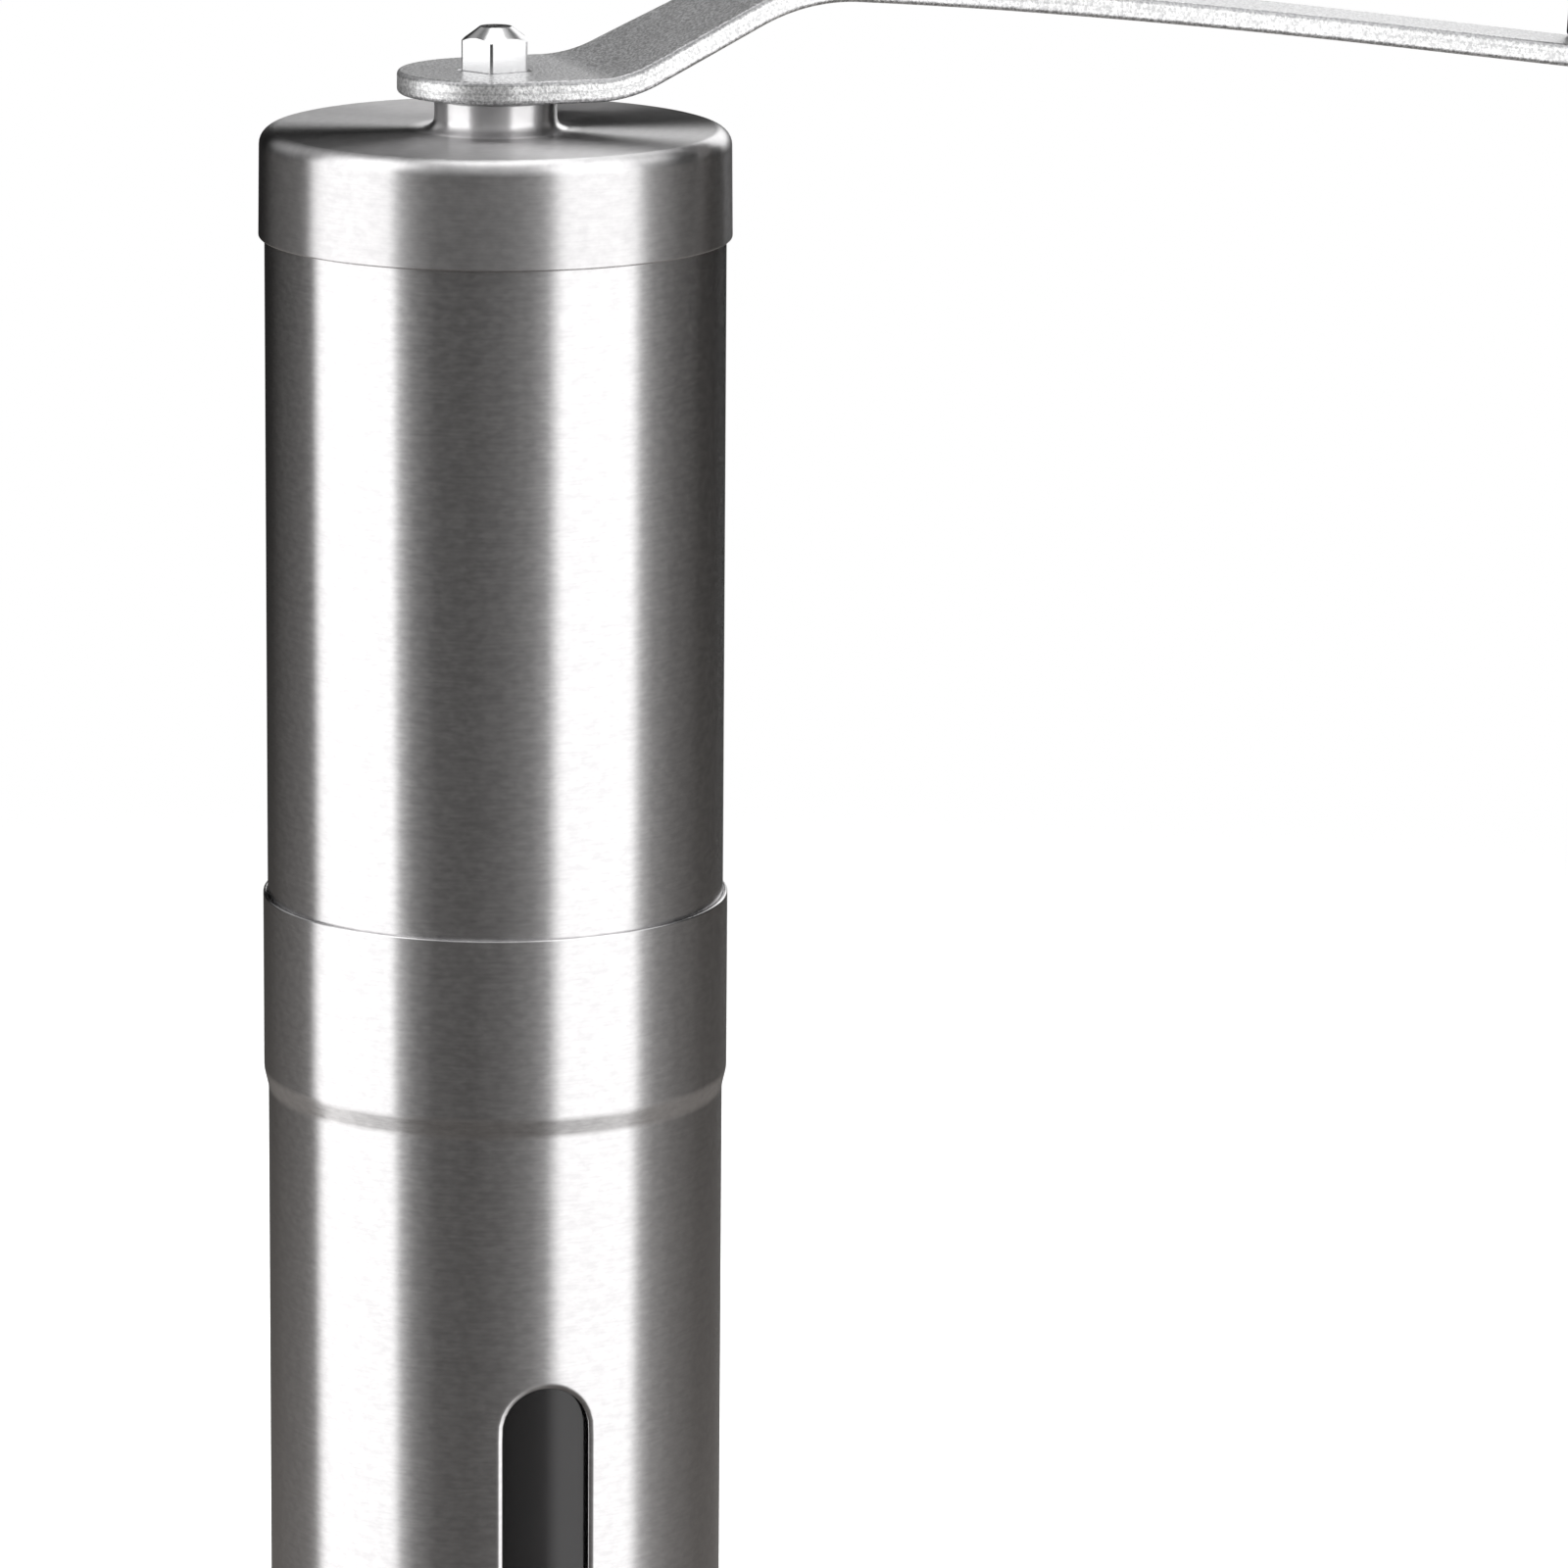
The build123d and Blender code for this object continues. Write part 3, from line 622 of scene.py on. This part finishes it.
def add_slotted_wall(work, radius, profile, inwards):
    """One skin of the cup's wall between the patch heights, with the slot left open.

    profile is the section of the slot's edge. inwards is 1 where the edge drops towards the axis.
    """
    step = 2 * math.pi / STEPS
    rows = [PATCH_LOW + (PATCH_HIGH - PATCH_LOW) * row / PATCH_ROWS for row in range(PATCH_ROWS + 1)]

    def vertex(across, height, skin_radius):
        angle = SLOT_AZIMUTH + math.asin(across / skin_radius)
        return work.verts.new(on_axis(skin_radius, height, angle))

    columns = range(PATCH_COLUMNS, STEPS - PATCH_COLUMNS + 1)
    grid = [
        [work.verts.new(on_axis(radius, height, SLOT_AZIMUTH + step * column)) for column in columns]
        for height in rows
    ]
    add_grid(work, grid, wrap=False)

    bottom = [(column, PATCH_LOW) for column in range(-PATCH_COLUMNS, PATCH_COLUMNS)]
    right = [(PATCH_COLUMNS, height) for height in rows[:-1]]
    top = [(column, PATCH_HIGH) for column in range(PATCH_COLUMNS, -PATCH_COLUMNS, -1)]
    left = [(-PATCH_COLUMNS, height) for height in rows[:0:-1]]
    border = bottom + right + top + left
    outside = [Vector((radius * math.sin(step * column), height)) for column, height in border]
    edge = [slot_edge(TUBE_R * math.sin(step * column), height) for column, height in border]
    away = [(point - cut).normalized() for point, cut in zip(outside, edge)]
    first_reach = profile[0][0]
    rings = []
    for ring in range(PATCH_RINGS):
        share = ring / PATCH_RINGS
        near = [o.lerp(e + w * first_reach, share) for o, e, w in zip(outside, edge, away)]
        rings.append([vertex(p.x, p.y, radius) for p in near])
    for reach, drop in profile:
        near = [e + w * reach for e, w in zip(edge, away)]
        rings.append([vertex(p.x, p.y, radius - drop * inwards) for p in near])
    add_grid(work, rings)
    return rings[-1]


def make_cup():
    """Drawn cup: rounded floor, slotted wall, soft step, and a mouth expanded by one sheet."""
    bore = TUBE_R - SHEET
    mouth_bore = MOUTH_R - SHEET
    work = bmesh.new()
    above = [
        (TUBE_R, PATCH_HIGH, 0),
        (TUBE_R, STEP_LOW, STEP_ROUND),
        (MOUTH_R, STEP_HIGH, STEP_ROUND),
        (MOUTH_R, MOUTH_TOP, RIM_ROUND),
        (mouth_bore, MOUTH_TOP, RIM_ROUND),
        (mouth_bore, STEP_HIGH, STEP_ROUND),
        (bore, STEP_LOW, STEP_ROUND),
        (bore, PATCH_HIGH, 0),
    ]
    below = [
        (bore, PATCH_LOW, 0),
        (bore, CUP_FLOOR, CUP_CORNER - SHEET),
        (0, CUP_FLOOR, 0),
    ]
    base = [
        (0, 0, 0),
        (TUBE_R, 0, CUP_CORNER),
        (TUBE_R, PATCH_LOW, 0),
    ]
    for outline in (above, below, base):
        add_lathe(work, rounded(outline, closed=False), closed=False, start=SLOT_AZIMUTH)
    outer_edge = add_slotted_wall(work, TUBE_R, cut_profile(ROLL_REACH, ROLL_ANGLE), 1)
    inner_edge = add_slotted_wall(work, bore, cut_profile(INNER_REACH, INNER_ANGLE), -1)
    add_grid(work, [outer_edge, inner_edge])
    finish_mesh(work, "cup_steel", "grounds_cup", "brushed_steel", "cup_shell")


def make_liner():
    """Smoke-clear inner cup behind the slot, centred by its rim and its foot. Its near-black tint is
    partly its own smoke tint and partly painted shade for the dark inside of the cup.
    """
    bore = LINER_R - LINER_WALL
    floor = LINER_LOW + LINER_FLOOR
    foot_top = LINER_LOW + LINER_RIM + CUP_CORNER
    rim_low = LINER_TOP - LINER_RIM
    inner_lip, outer_lip = LINER_LIP_ROUNDS
    outline = [
        (0, floor, 0),
        (bore, floor, LINER_FLOOR_ROUND),
        (bore, LINER_TOP, inner_lip),
        (LINER_RIM_R, LINER_TOP, outer_lip),
        (LINER_RIM_R, rim_low, LINER_EDGE_ROUND),
        (LINER_R, rim_low, LINER_EDGE_ROUND),
        (LINER_R, foot_top, LINER_EDGE_ROUND),
        (LINER_RIM_R, foot_top, LINER_EDGE_ROUND),
        (LINER_RIM_R, LINER_LOW, CUP_CORNER),
        (0, LINER_LOW, 0),
    ]
    turned_piece("liner_clear", "grounds_cup", "smoke_plastic", "window_liner", outline, closed=False)


# ---------------------------------------------------------------------------------------------
# Pressure spring
# ---------------------------------------------------------------------------------------------

WIRE_R = 0.45
COIL_R = high("pressure_spring").x - WIRE_R
COIL_TURNS = 5
TURN_STEPS = 64
WIRE_SIDES = 16

# Rise of a closed turn, and height of the wire's middle over its ground end
CLOSED_PITCH = 0.93
GROUND_HEIGHT = 0.22
SPRING_LOW = low("pressure_spring").z
SPRING_TOP = high("pressure_spring").z


def wire_height(turn):
    """Height of the wire's middle after that many turns, with a closed turn at each end."""
    first = SPRING_LOW + GROUND_HEIGHT + CLOSED_PITCH * min(turn, 1)
    open_rise = SPRING_TOP - SPRING_LOW - 2 * GROUND_HEIGHT - 2 * CLOSED_PITCH
    share = min(max((turn - 1) / (COIL_TURNS - 2), 0), 1)
    return first + open_rise * share + CLOSED_PITCH * max(turn - COIL_TURNS + 1, 0)


def make_pressure_spring():
    """Coil spring with closed ends ground flat."""
    work = bmesh.new()
    rings = []
    for step in range(COIL_TURNS * TURN_STEPS + 1):
        turn = step / TURN_STEPS
        ring = []
        for side in range(WIRE_SIDES):
            around = 2 * math.pi * side / WIRE_SIDES
            radius = COIL_R + WIRE_R * math.cos(around)
            height = wire_height(turn) + WIRE_R * math.sin(around)
            ground = min(max(height, SPRING_LOW), SPRING_TOP)
            ring.append(work.verts.new(on_axis(radius, ground, 2 * math.pi * turn)))
        rings.append([*ring, ring[0]])
    add_grid(work, rings, wrap=False)
    for ring in (rings[0], rings[-1]):
        work.faces.new(ring[:-1])
    stretch = ("mill", (0, 0, (SPRING_TOP - WIRE_R) * MM), (0, 0, (SPRING_LOW + WIRE_R) * MM))
    finish_mesh(work, "spring_coil", "spindle", "turned_steel", "pressure_spring", stretch=stretch)


# ---------------------------------------------------------------------------------------------
# Crank arm
# ---------------------------------------------------------------------------------------------

HUB_TOP = 193.3
HUB_R = 9.8
RAMP_START = 7.5
RAMP_ANGLE = math.radians(25.4)
RAMP_BEND_R = 12.8
CREST_START = 24.0
CREST_BEND_R = 23.0
FALL_START = math.radians(5.1)
FALL_END = math.radians(8.0)
FALL_BEND_R = 1123.0
ARM_BOSS_R = 7.2
SHOULDER_X = 11.0
SHOULDER_HALF = 10.1
NARROW_X = 46.0
NARROW_HALF = 6.2

# How far each way from a corner of the arm's side its curve reaches, and the share of that before a
# shoulder
EASE = 9.0
EASE_STEPS = 8
SHOULDER_SHARE = 0.8

PENTAGON_R = 3.6
PENTAGON_ROUND = 0.5
PENTAGON_AZIMUTH = math.radians(29.8)
PIN_HOLE_R = 2.52
KNOB_JOINT = next(joint for joint in frame["joints"] if joint["name"] == "knob_spin")
KNOB_X = KNOB_JOINT["pos_m"][0] / MM

# Turn from the arm's direction to the start of the hub's arc, and the faces of the plan's arcs
HUB_TURN = math.radians(92)
HUB_STEPS = 64
BOSS_STEPS = 48

# Cuts across the flat plate, so that it can bend: (first distance from the shaft's axis, step, number)
CUTS = [
    (RAMP_START, 0.25, 29),
    (CREST_START - 0.5, 0.5, 26),
    (KNOB_X - 85, 3.0, 20),
]


def arm_top(x):
    """Height and slope angle of the arm's top face at a distance from the shaft's axis."""
    height, angle = HUB_TOP, 0.0
    if x <= RAMP_START:
        return height, angle
    spans = [
        (RAMP_BEND_R, RAMP_ANGLE, None),
        (None, RAMP_ANGLE, CREST_START),
        (-CREST_BEND_R, -FALL_START, None),
        (-FALL_BEND_R, -FALL_END, None),
    ]
    start = RAMP_START
    for bend, end_angle, end_x in spans:
        if bend is None:
            end = end_x
            here = min(x, end)
            height += (here - start) * math.tan(angle)
        else:
            end = start + bend * (math.sin(end_angle) - math.sin(angle))
            here = min(x, end)
            reached = math.asin(math.sin(angle) + (here - start) / bend)
            height += bend * (math.cos(angle) - math.cos(reached))
            angle = reached
        if x <= end:
            return height, angle
        start = end
    return height + (x - start) * math.tan(angle), angle


def arc_points(centre_x, radius, first, last, count):
    """Points of an arc in the arm's plan."""
    angles = [first + (last - first) * index / count for index in range(count + 1)]
    return [(centre_x + radius * math.cos(a), radius * math.sin(a)) for a in angles]


def eased_side(path):
    """A side of the arm from four points, whose two inner corners are eased into curves."""
    points = []
    for before, corner, after in zip(path, path[1:], path[2:]):
        here = Vector(corner)
        back = (Vector(before) - here).normalized() * EASE
        ahead = (Vector(after) - here).normalized() * EASE
        if abs(here.x - SHOULDER_X) < WELD:
            back *= SHOULDER_SHARE
        for step in range(EASE_STEPS + 1):
            t = step / EASE_STEPS
            points.append(tuple(here + back * (1 - t) ** 2 + ahead * t ** 2))
    return points


def arm_plan():
    """Outer outline of the arm seen from above: hub, shoulders, taper and the knob's boss."""
    meet = math.asin(NARROW_HALF / ARM_BOSS_R)
    hub = arc_points(0, HUB_R, HUB_TURN, 2 * math.pi - HUB_TURN, HUB_STEPS)
    boss = arc_points(KNOB_X, ARM_BOSS_R, -math.pi + meet, math.pi - meet, BOSS_STEPS)
    side = [
        (0.0, SHOULDER_HALF),
        (SHOULDER_X, SHOULDER_HALF),
        (NARROW_X, NARROW_HALF),
        (KNOB_X - ARM_BOSS_R, NARROW_HALF),
    ]
    other_side = [(x, -y) for x, y in side]
    return hub + eased_side(other_side) + boss + eased_side(side[::-1])


def rounded_pentagon():
    """The hole for the shaft's five-sided end, with eased corners."""
    fifth = 2 * math.pi / 5
    corners = [PENTAGON_AZIMUTH + fifth * index for index in range(5)]
    outline = [(PENTAGON_R * math.cos(a), PENTAGON_R * math.sin(a), PENTAGON_ROUND) for a in corners]
    return [tuple(point) for point in rounded(outline)]


def plan_spline(curve, points):
    """Adds a closed straight-sided outline to a flat curve."""
    spline = curve.splines.new("POLY")
    spline.points.add(len(points) - 1)
    for point, (x, y) in zip(spline.points, points):
        point.co = (x * MM, y * MM, 0, 1)
    spline.use_cyclic_u = True


def make_crank_arm():
    """Flat plate with rounded edges and two holes, bent along the arm's side view."""
    curve = bpy.data.curves.new("arm_plate", "CURVE")
    curve.dimensions = "2D"
    curve.fill_mode = "BOTH"
    curve.extrude = (ARM_THICK / 2 - ARM_ROUND) * MM
    curve.bevel_depth = ARM_ROUND * MM
    curve.bevel_resolution = 3
    curve.offset = -ARM_ROUND * MM
    plan_spline(curve, arm_plan())
    plan_spline(curve, rounded_pentagon())
    plan_spline(curve, arc_points(KNOB_X, PIN_HOLE_R, 0, 2 * math.pi, BOSS_STEPS)[:-1])
    plate = bpy.data.objects.new("arm_plate", curve)
    bpy.context.scene.collection.objects.link(plate)
    bpy.context.view_layer.update()
    flat = bpy.data.meshes.new_from_object(plate.evaluated_get(bpy.context.evaluated_depsgraph_get()))
    bpy.data.objects.remove(plate)
    work = bmesh.new()
    work.from_mesh(flat)
    bpy.data.meshes.remove(flat)
    bmesh.ops.remove_doubles(work, verts=work.verts, dist=WELD)
    for cut in [first + step * index for first, step, number in CUTS for index in range(number)]:
        everything = [*work.verts, *work.edges, *work.faces]
        bmesh.ops.bisect_plane(work, geom=everything, plane_co=(cut * MM, 0, 0), plane_no=(1, 0, 0))
    flat_place = work.verts.layers.float_vector.new(PLATE_PLACE)
    for vertex in work.verts:
        vertex[flat_place] = vertex.co / MM
        x, depth = vertex.co.x / MM, vertex.co.z / MM - ARM_THICK / 2
        height, angle = arm_top(x)
        vertex.co.x = (x - depth * math.sin(angle)) * MM
        vertex.co.z = (height + depth * math.cos(angle)) * MM
    finish_mesh(work, "crank_plate", "crank", "tumbled_steel", "crank_arm")


# ---------------------------------------------------------------------------------------------
# Knob, in its own frame: Z = 0 is the arm's top face under it
# ---------------------------------------------------------------------------------------------

KNOB_BASE_R = 8.5
KNOB_FOOT = 0.1
KNOB_FOOT_ROUND = 0.5

# Corners of the knob's side view: (radius, height, corner radius)
KNOB_WAIST = (9.15, 8.0, 40.0)
KNOB_BELLY = (11.3, 19.4, 13.0)
KNOB_CROWN = (8.3, 26.95, 3.4)

WELL_R = 5.2
WELL_FLOOR = 13.9
WELL_EDGE_ROUND = 0.3
KNOB_BORE_R = 2.55
RECESS_R = 6.3
RECESS_TOP = 0.6
CAP_LOW = 18.5
CAP_TOP = 27.0
CAP_R = 5.18
CAP_DOME = 0.1
CAP_ROUNDS = (0.2, 0.5)


def knob_place():
    """Matrix from the knob's own frame to the row frame."""
    axis = Vector(KNOB_JOINT["axis"])
    turn = Vector((0, 0, 1)).rotation_difference(axis).to_matrix().to_4x4()
    return Matrix.Translation(Vector(KNOB_JOINT["pos_m"])) @ turn


def make_knob():
    """Knob that swells upwards, and the plug in its well."""
    outline = [
        (KNOB_BORE_R, RECESS_TOP, 0),
        (RECESS_R, RECESS_TOP, 0),
        (RECESS_R, KNOB_FOOT, 0),
        (KNOB_BASE_R, KNOB_FOOT, KNOB_FOOT_ROUND),
        KNOB_WAIST,
        KNOB_BELLY,
        KNOB_CROWN,
        (WELL_R, KNOB_CROWN[1], WELL_EDGE_ROUND),
        (WELL_R, WELL_FLOOR, 0),
        (KNOB_BORE_R, WELL_FLOOR, 0),
    ]
    low_round, top_round = CAP_ROUNDS
    cap = [
        (0, CAP_LOW, 0),
        (CAP_R, CAP_LOW, low_round),
        (CAP_R, CAP_TOP - CAP_DOME, top_round),
        (0, CAP_TOP, 0),
    ]
    place = knob_place()
    turned_piece("knob_body", "knob", "knob_plastic", "knob_grip", outline, place=place)
    turned_piece("knob_plug", "knob", "knob_plastic", "knob_cap", cap, closed=False, place=place)


# ---------------------------------------------------------------------------------------------
# CAD pieces that keep their own shape
# ---------------------------------------------------------------------------------------------


def paint_cad():
    """Gives every CAD piece that stays in view the finish of its slot."""
    for node in frame["nodes"].values():
        for holder in node.material_slots:
            holder.material = MATERIALS[holder.material.name.split(".")[0]]


# ---------------------------------------------------------------------------------------------
# Studio
# ---------------------------------------------------------------------------------------------

CAMERA_AZIMUTH = math.radians(-107.0)
CAMERA_DISTANCE = 0.8695
CAMERA_HEIGHT = 0.3116
CAMERA_PITCH = math.radians(12.372)
CAMERA_YAW = math.radians(1.918)
CAMERA_ROLL = math.radians(0.425)
CAMERA_LENS = 202.47
CAMERA_SENSOR = 36.0
CAMERA_CLIP = (0.05, 50.0)


def make_camera():
    """Long lens from a little above, looking down."""
    data = bpy.data.cameras.new("camera")
    data.lens = CAMERA_LENS
    data.sensor_width = CAMERA_SENSOR
    data.clip_start, data.clip_end = CAMERA_CLIP
    camera = bpy.data.objects.new("camera", data)
    bpy.context.scene.collection.objects.link(camera)
    out = Vector((math.cos(CAMERA_AZIMUTH), math.sin(CAMERA_AZIMUTH), 0))
    ahead = Matrix.Rotation(-CAMERA_YAW, 3, "Z") @ -out
    forward = ahead * math.cos(CAMERA_PITCH) - Vector((0, 0, math.sin(CAMERA_PITCH)))
    right = forward.cross(Vector((0, 0, 1))).normalized()
    up = right.cross(forward)
    rolled_right = right * math.cos(CAMERA_ROLL) + up * math.sin(CAMERA_ROLL)
    rolled_up = up * math.cos(CAMERA_ROLL) - right * math.sin(CAMERA_ROLL)
    turn = Matrix((rolled_right, rolled_up, -forward)).transposed().to_4x4()
    place = out * CAMERA_DISTANCE + Vector((0, 0, CAMERA_HEIGHT))
    camera.matrix_world = Matrix.Translation(place) @ turn
    bpy.context.scene.camera = camera


# Light round the horizon: (degrees to the right of the camera's side, strength)
HORIZON = [
    (-180, 0.02),
    (-150, 0.01),
    (-125, 0.06),
    (-112, 0.11),
    (-104, 0.22),
    (-98, 1.75),
    (-53, 1.75),
    (-49.5, 0.62),
    (-42, 0.22),
    (-30, 0.065),
    (-12, 0.04),
    (4, 0.09),
    (18, 0.20),
    (26, 0.42),
    (34, 1.75),
    (72, 1.75),
    (78, 0.60),
    (86, 0.25),
    (100, 0.11),
    (125, 0.02),
    (150, 0.01),
    (180, 0.02),
]
HORIZON_TOP = 2.0

# Elevations between which the light of the horizon fades out, upwards and downwards
HORIZON_FADE = (50.0, 76.0)
HORIZON_FOOT = (-22.0, -42.0)

# Light from the floor: strength on the camera's side and behind, the cosines of the directions from the
# camera's side between which that changes, the elevations between which it comes in, and its tint
FLOOR_LIGHT = (0.12, 0.24)
FLOOR_TURN = (-0.3, 0.8)
FLOOR_FADE = (-9.0, -22.0)
FLOOR_TINT = (1.0, 0.93, 0.87)

# Round lights above: (degrees to the right, elevation, inner and outer half angle, strength)
ROUND_LIGHTS = [
    (180.0, 78.0, 7.0, 20.0, 3.0),
    (0.0, 60.0, 18.0, 62.0, 0.5),
    (-136.0, 30.0, 6.0, 26.0, 0.45),
    (97.0, 52.0, 8.0, 28.0, 1.4),
    (-97.0, 52.0, 6.0, 24.0, 1.0),
]

# Upright soft box behind: direction to the right and half width, lowest and highest elevation, and the
# half width of its soft edges at the sides and at the ends, all in degrees
BACK_BOX_SIDES = (162.6, 14.6)
BACK_BOX_ENDS = (4.5, 66.0)
BACK_BOX_EDGES = (0.8, 1.8)
BACK_BOX_STRENGTH = 1.5


def sine(degrees):
    """Sine of an angle in degrees, which is the height of a direction at that elevation."""
    return math.sin(math.radians(degrees))


def cosine(degrees):
    """Cosine of an angle in degrees."""
    return math.cos(math.radians(degrees))


def round_light(tree, direction, right, elevation, inner, outer, strength):
    """A round light, as a cone of directions."""
    azimuth = CAMERA_AZIMUTH + math.radians(right)
    level = cosine(elevation)
    middle = (level * math.cos(azimuth), level * math.sin(azimuth), sine(elevation))
    inputs = {0: direction, 1: middle}
    closeness = add_node(tree, "VectorMath", inputs, operation="DOT_PRODUCT").node.outputs["Value"]
    return smooth_range(tree, closeness, cosine(outer), cosine(inner), 0.0, strength)


def back_light(tree, height, right_of_camera):
    """An upright soft box behind the object."""
    centre, half = BACK_BOX_SIDES
    lowest, highest = BACK_BOX_ENDS
    side_edge, end_edge = BACK_BOX_EDGES
    offset = math_node(tree, "SUBTRACT", right_of_camera, math.radians(centre))
    across = math_node(tree, "ABSOLUTE", math_node(tree, "WRAP", offset, math.pi, -math.pi))
    inside = math.radians(half - side_edge)
    outside = math.radians(half + side_edge)
    beside = smooth_range(tree, across, inside, outside, BACK_BOX_STRENGTH, 0.0)
    above = smooth_range(tree, height, sine(lowest - end_edge), sine(lowest + end_edge), 0.0, 1.0)
    below = smooth_range(tree, height, sine(highest - end_edge), sine(highest + end_edge), 1.0, 0.0)
    return math_node(tree, "MULTIPLY", beside, math_node(tree, "MULTIPLY", above, below))


def horizon_light(tree, height, right_of_camera):
    """The light round the horizon, which fades out upwards and downwards."""
    share = map_range(tree, right_of_camera, -math.pi, math.pi, 0.0, 1.0)
    ramp = tree.nodes.new("ShaderNodeValToRGB")
    tree.links.new(share, ramp.inputs[0])
    stops = ramp.color_ramp.elements
    while len(stops) < len(HORIZON):
        stops.new(0.5)
    for stop, (angle, strength) in zip(stops, HORIZON):
        stop.position = (angle + 180) / 360
        grey = strength / HORIZON_TOP
        stop.color = (grey, grey, grey, 1)
    fade_low, fade_high = HORIZON_FADE
    foot_high, foot_low = HORIZON_FOOT
    fade = smooth_range(tree, height, sine(fade_low), sine(fade_high), HORIZON_TOP, 0.0)
    foot = smooth_range(tree, height, sine(foot_low), sine(foot_high), 0.0, 1.0)
    return math_node(tree, "MULTIPLY", ramp.outputs[0], math_node(tree, "MULTIPLY", fade, foot))


def floor_light(tree, height, right_of_camera):
    """The light that the floor sends up, stronger from behind than from the camera's side."""
    fade_high, fade_low = FLOOR_FADE
    in_front, behind = FLOOR_LIGHT
    below = smooth_range(tree, height, sine(fade_low), sine(fade_high), 1.0, 0.0)
    ahead = math_node(tree, "COSINE", right_of_camera)
    strength = smooth_range(tree, ahead, *FLOOR_TURN, behind, in_front)
    return math_node(tree, "MULTIPLY", below, strength)


def make_world():
    """White to the camera. To the object, a dark studio with tall soft boxes and a soft ceiling."""
    world = bpy.data.worlds.new("studio")
    bpy.context.scene.world = world
    world.use_nodes = True
    tree = world.node_tree
    tree.nodes.clear()
    direction = coordinates(tree, "Generated")
    x, y, height = parts_of(tree, direction)
    from_camera = math_node(tree, "SUBTRACT", math_node(tree, "ARCTAN2", y, x), CAMERA_AZIMUTH)
    right_of_camera = math_node(tree, "WRAP", from_camera, math.pi, -math.pi)
    light = horizon_light(tree, height, right_of_camera)
    for round_box in ROUND_LIGHTS:
        light = math_node(tree, "ADD", light, round_light(tree, direction, *round_box))
    light = math_node(tree, "ADD", light, back_light(tree, height, right_of_camera))
    from_floor = {0: FLOOR_TINT, "Scale": floor_light(tree, height, right_of_camera)}
    floor = add_node(tree, "VectorMath", from_floor, operation="SCALE")
    everything = add_node(tree, "VectorMath", {0: light, 1: floor}, operation="ADD")
    studio = add_node(tree, "Background", {"Color": everything})
    white = add_node(tree, "Background", {"Color": (1, 1, 1, 1)})
    seen = tree.nodes.new("ShaderNodeLightPath").outputs["Is Camera Ray"]
    mixed = add_node(tree, "MixShader", {0: seen, 1: studio, 2: white})
    add_node(tree, "OutputWorld", {0: mixed})


FLOOR_R = 0.6
FLOOR_STEPS = 96
FLOOR_COLOUR = (0.92, 0.92, 0.92, 1)

# Radii between which the floor fades out
FLOOR_EDGE = (0.10, 0.54)


def floor_material():
    """Pale, fading out to clear at the edge, and clear from below."""
    made = bpy.data.materials.new("pale_floor")
    made.use_nodes = True
    tree = made.node_tree
    tree.nodes.clear()
    fade = smooth_range(tree, radius_from_axis(tree), *FLOOR_EDGE, 0.0, 1.0)
    underside = tree.nodes.new("ShaderNodeNewGeometry").outputs["Backfacing"]
    pale = add_node(tree, "BsdfDiffuse", {"Color": FLOOR_COLOUR})
    clear = add_node(tree, "BsdfTransparent", {"Color": (1, 1, 1, 1)})
    is_clear = math_node(tree, "MAXIMUM", fade, underside)
    mixed = add_node(tree, "MixShader", {0: is_clear, 1: pale, 2: clear})
    add_node(tree, "OutputMaterial", {0: mixed})
    return made


def make_floor():
    """Round floor, which doesn't show in the steel."""
    work = bmesh.new()
    bmesh.ops.create_circle(work, cap_ends=True, segments=FLOOR_STEPS, radius=FLOOR_R)
    mesh = bpy.data.meshes.new("floor")
    work.to_mesh(mesh)
    work.free()
    mesh.materials.append(floor_material())
    floor = bpy.data.objects.new("floor", mesh)
    bpy.context.scene.collection.objects.link(floor)
    floor.visible_glossy = False


OVERHEAD_SIZE = 0.9
OVERHEAD_HEIGHT = 1.3
OVERHEAD_POWER = 14.0


def make_overhead():
    """One soft light above, for the floor and the tops."""
    data = bpy.data.lights.new("overhead", "AREA")
    data.shape = "DISK"
    data.size = OVERHEAD_SIZE
    data.energy = OVERHEAD_POWER
    lamp = bpy.data.objects.new("overhead", data)
    lamp.location = (0, 0, OVERHEAD_HEIGHT)
    bpy.context.scene.collection.objects.link(lamp)
    lamp.visible_camera = False
    lamp.visible_glossy = False


def make_studio():
    """Camera, light, floor, and a plain display transform that keeps white white."""
    make_camera()
    make_world()
    make_floor()
    make_overhead()
    bpy.context.scene.view_settings.view_transform = "Standard"


make_studio()
paint_cad()
make_hopper_tube()
make_lid()
make_cup()
make_liner()
make_pressure_spring()
make_crank_arm()
make_knob()
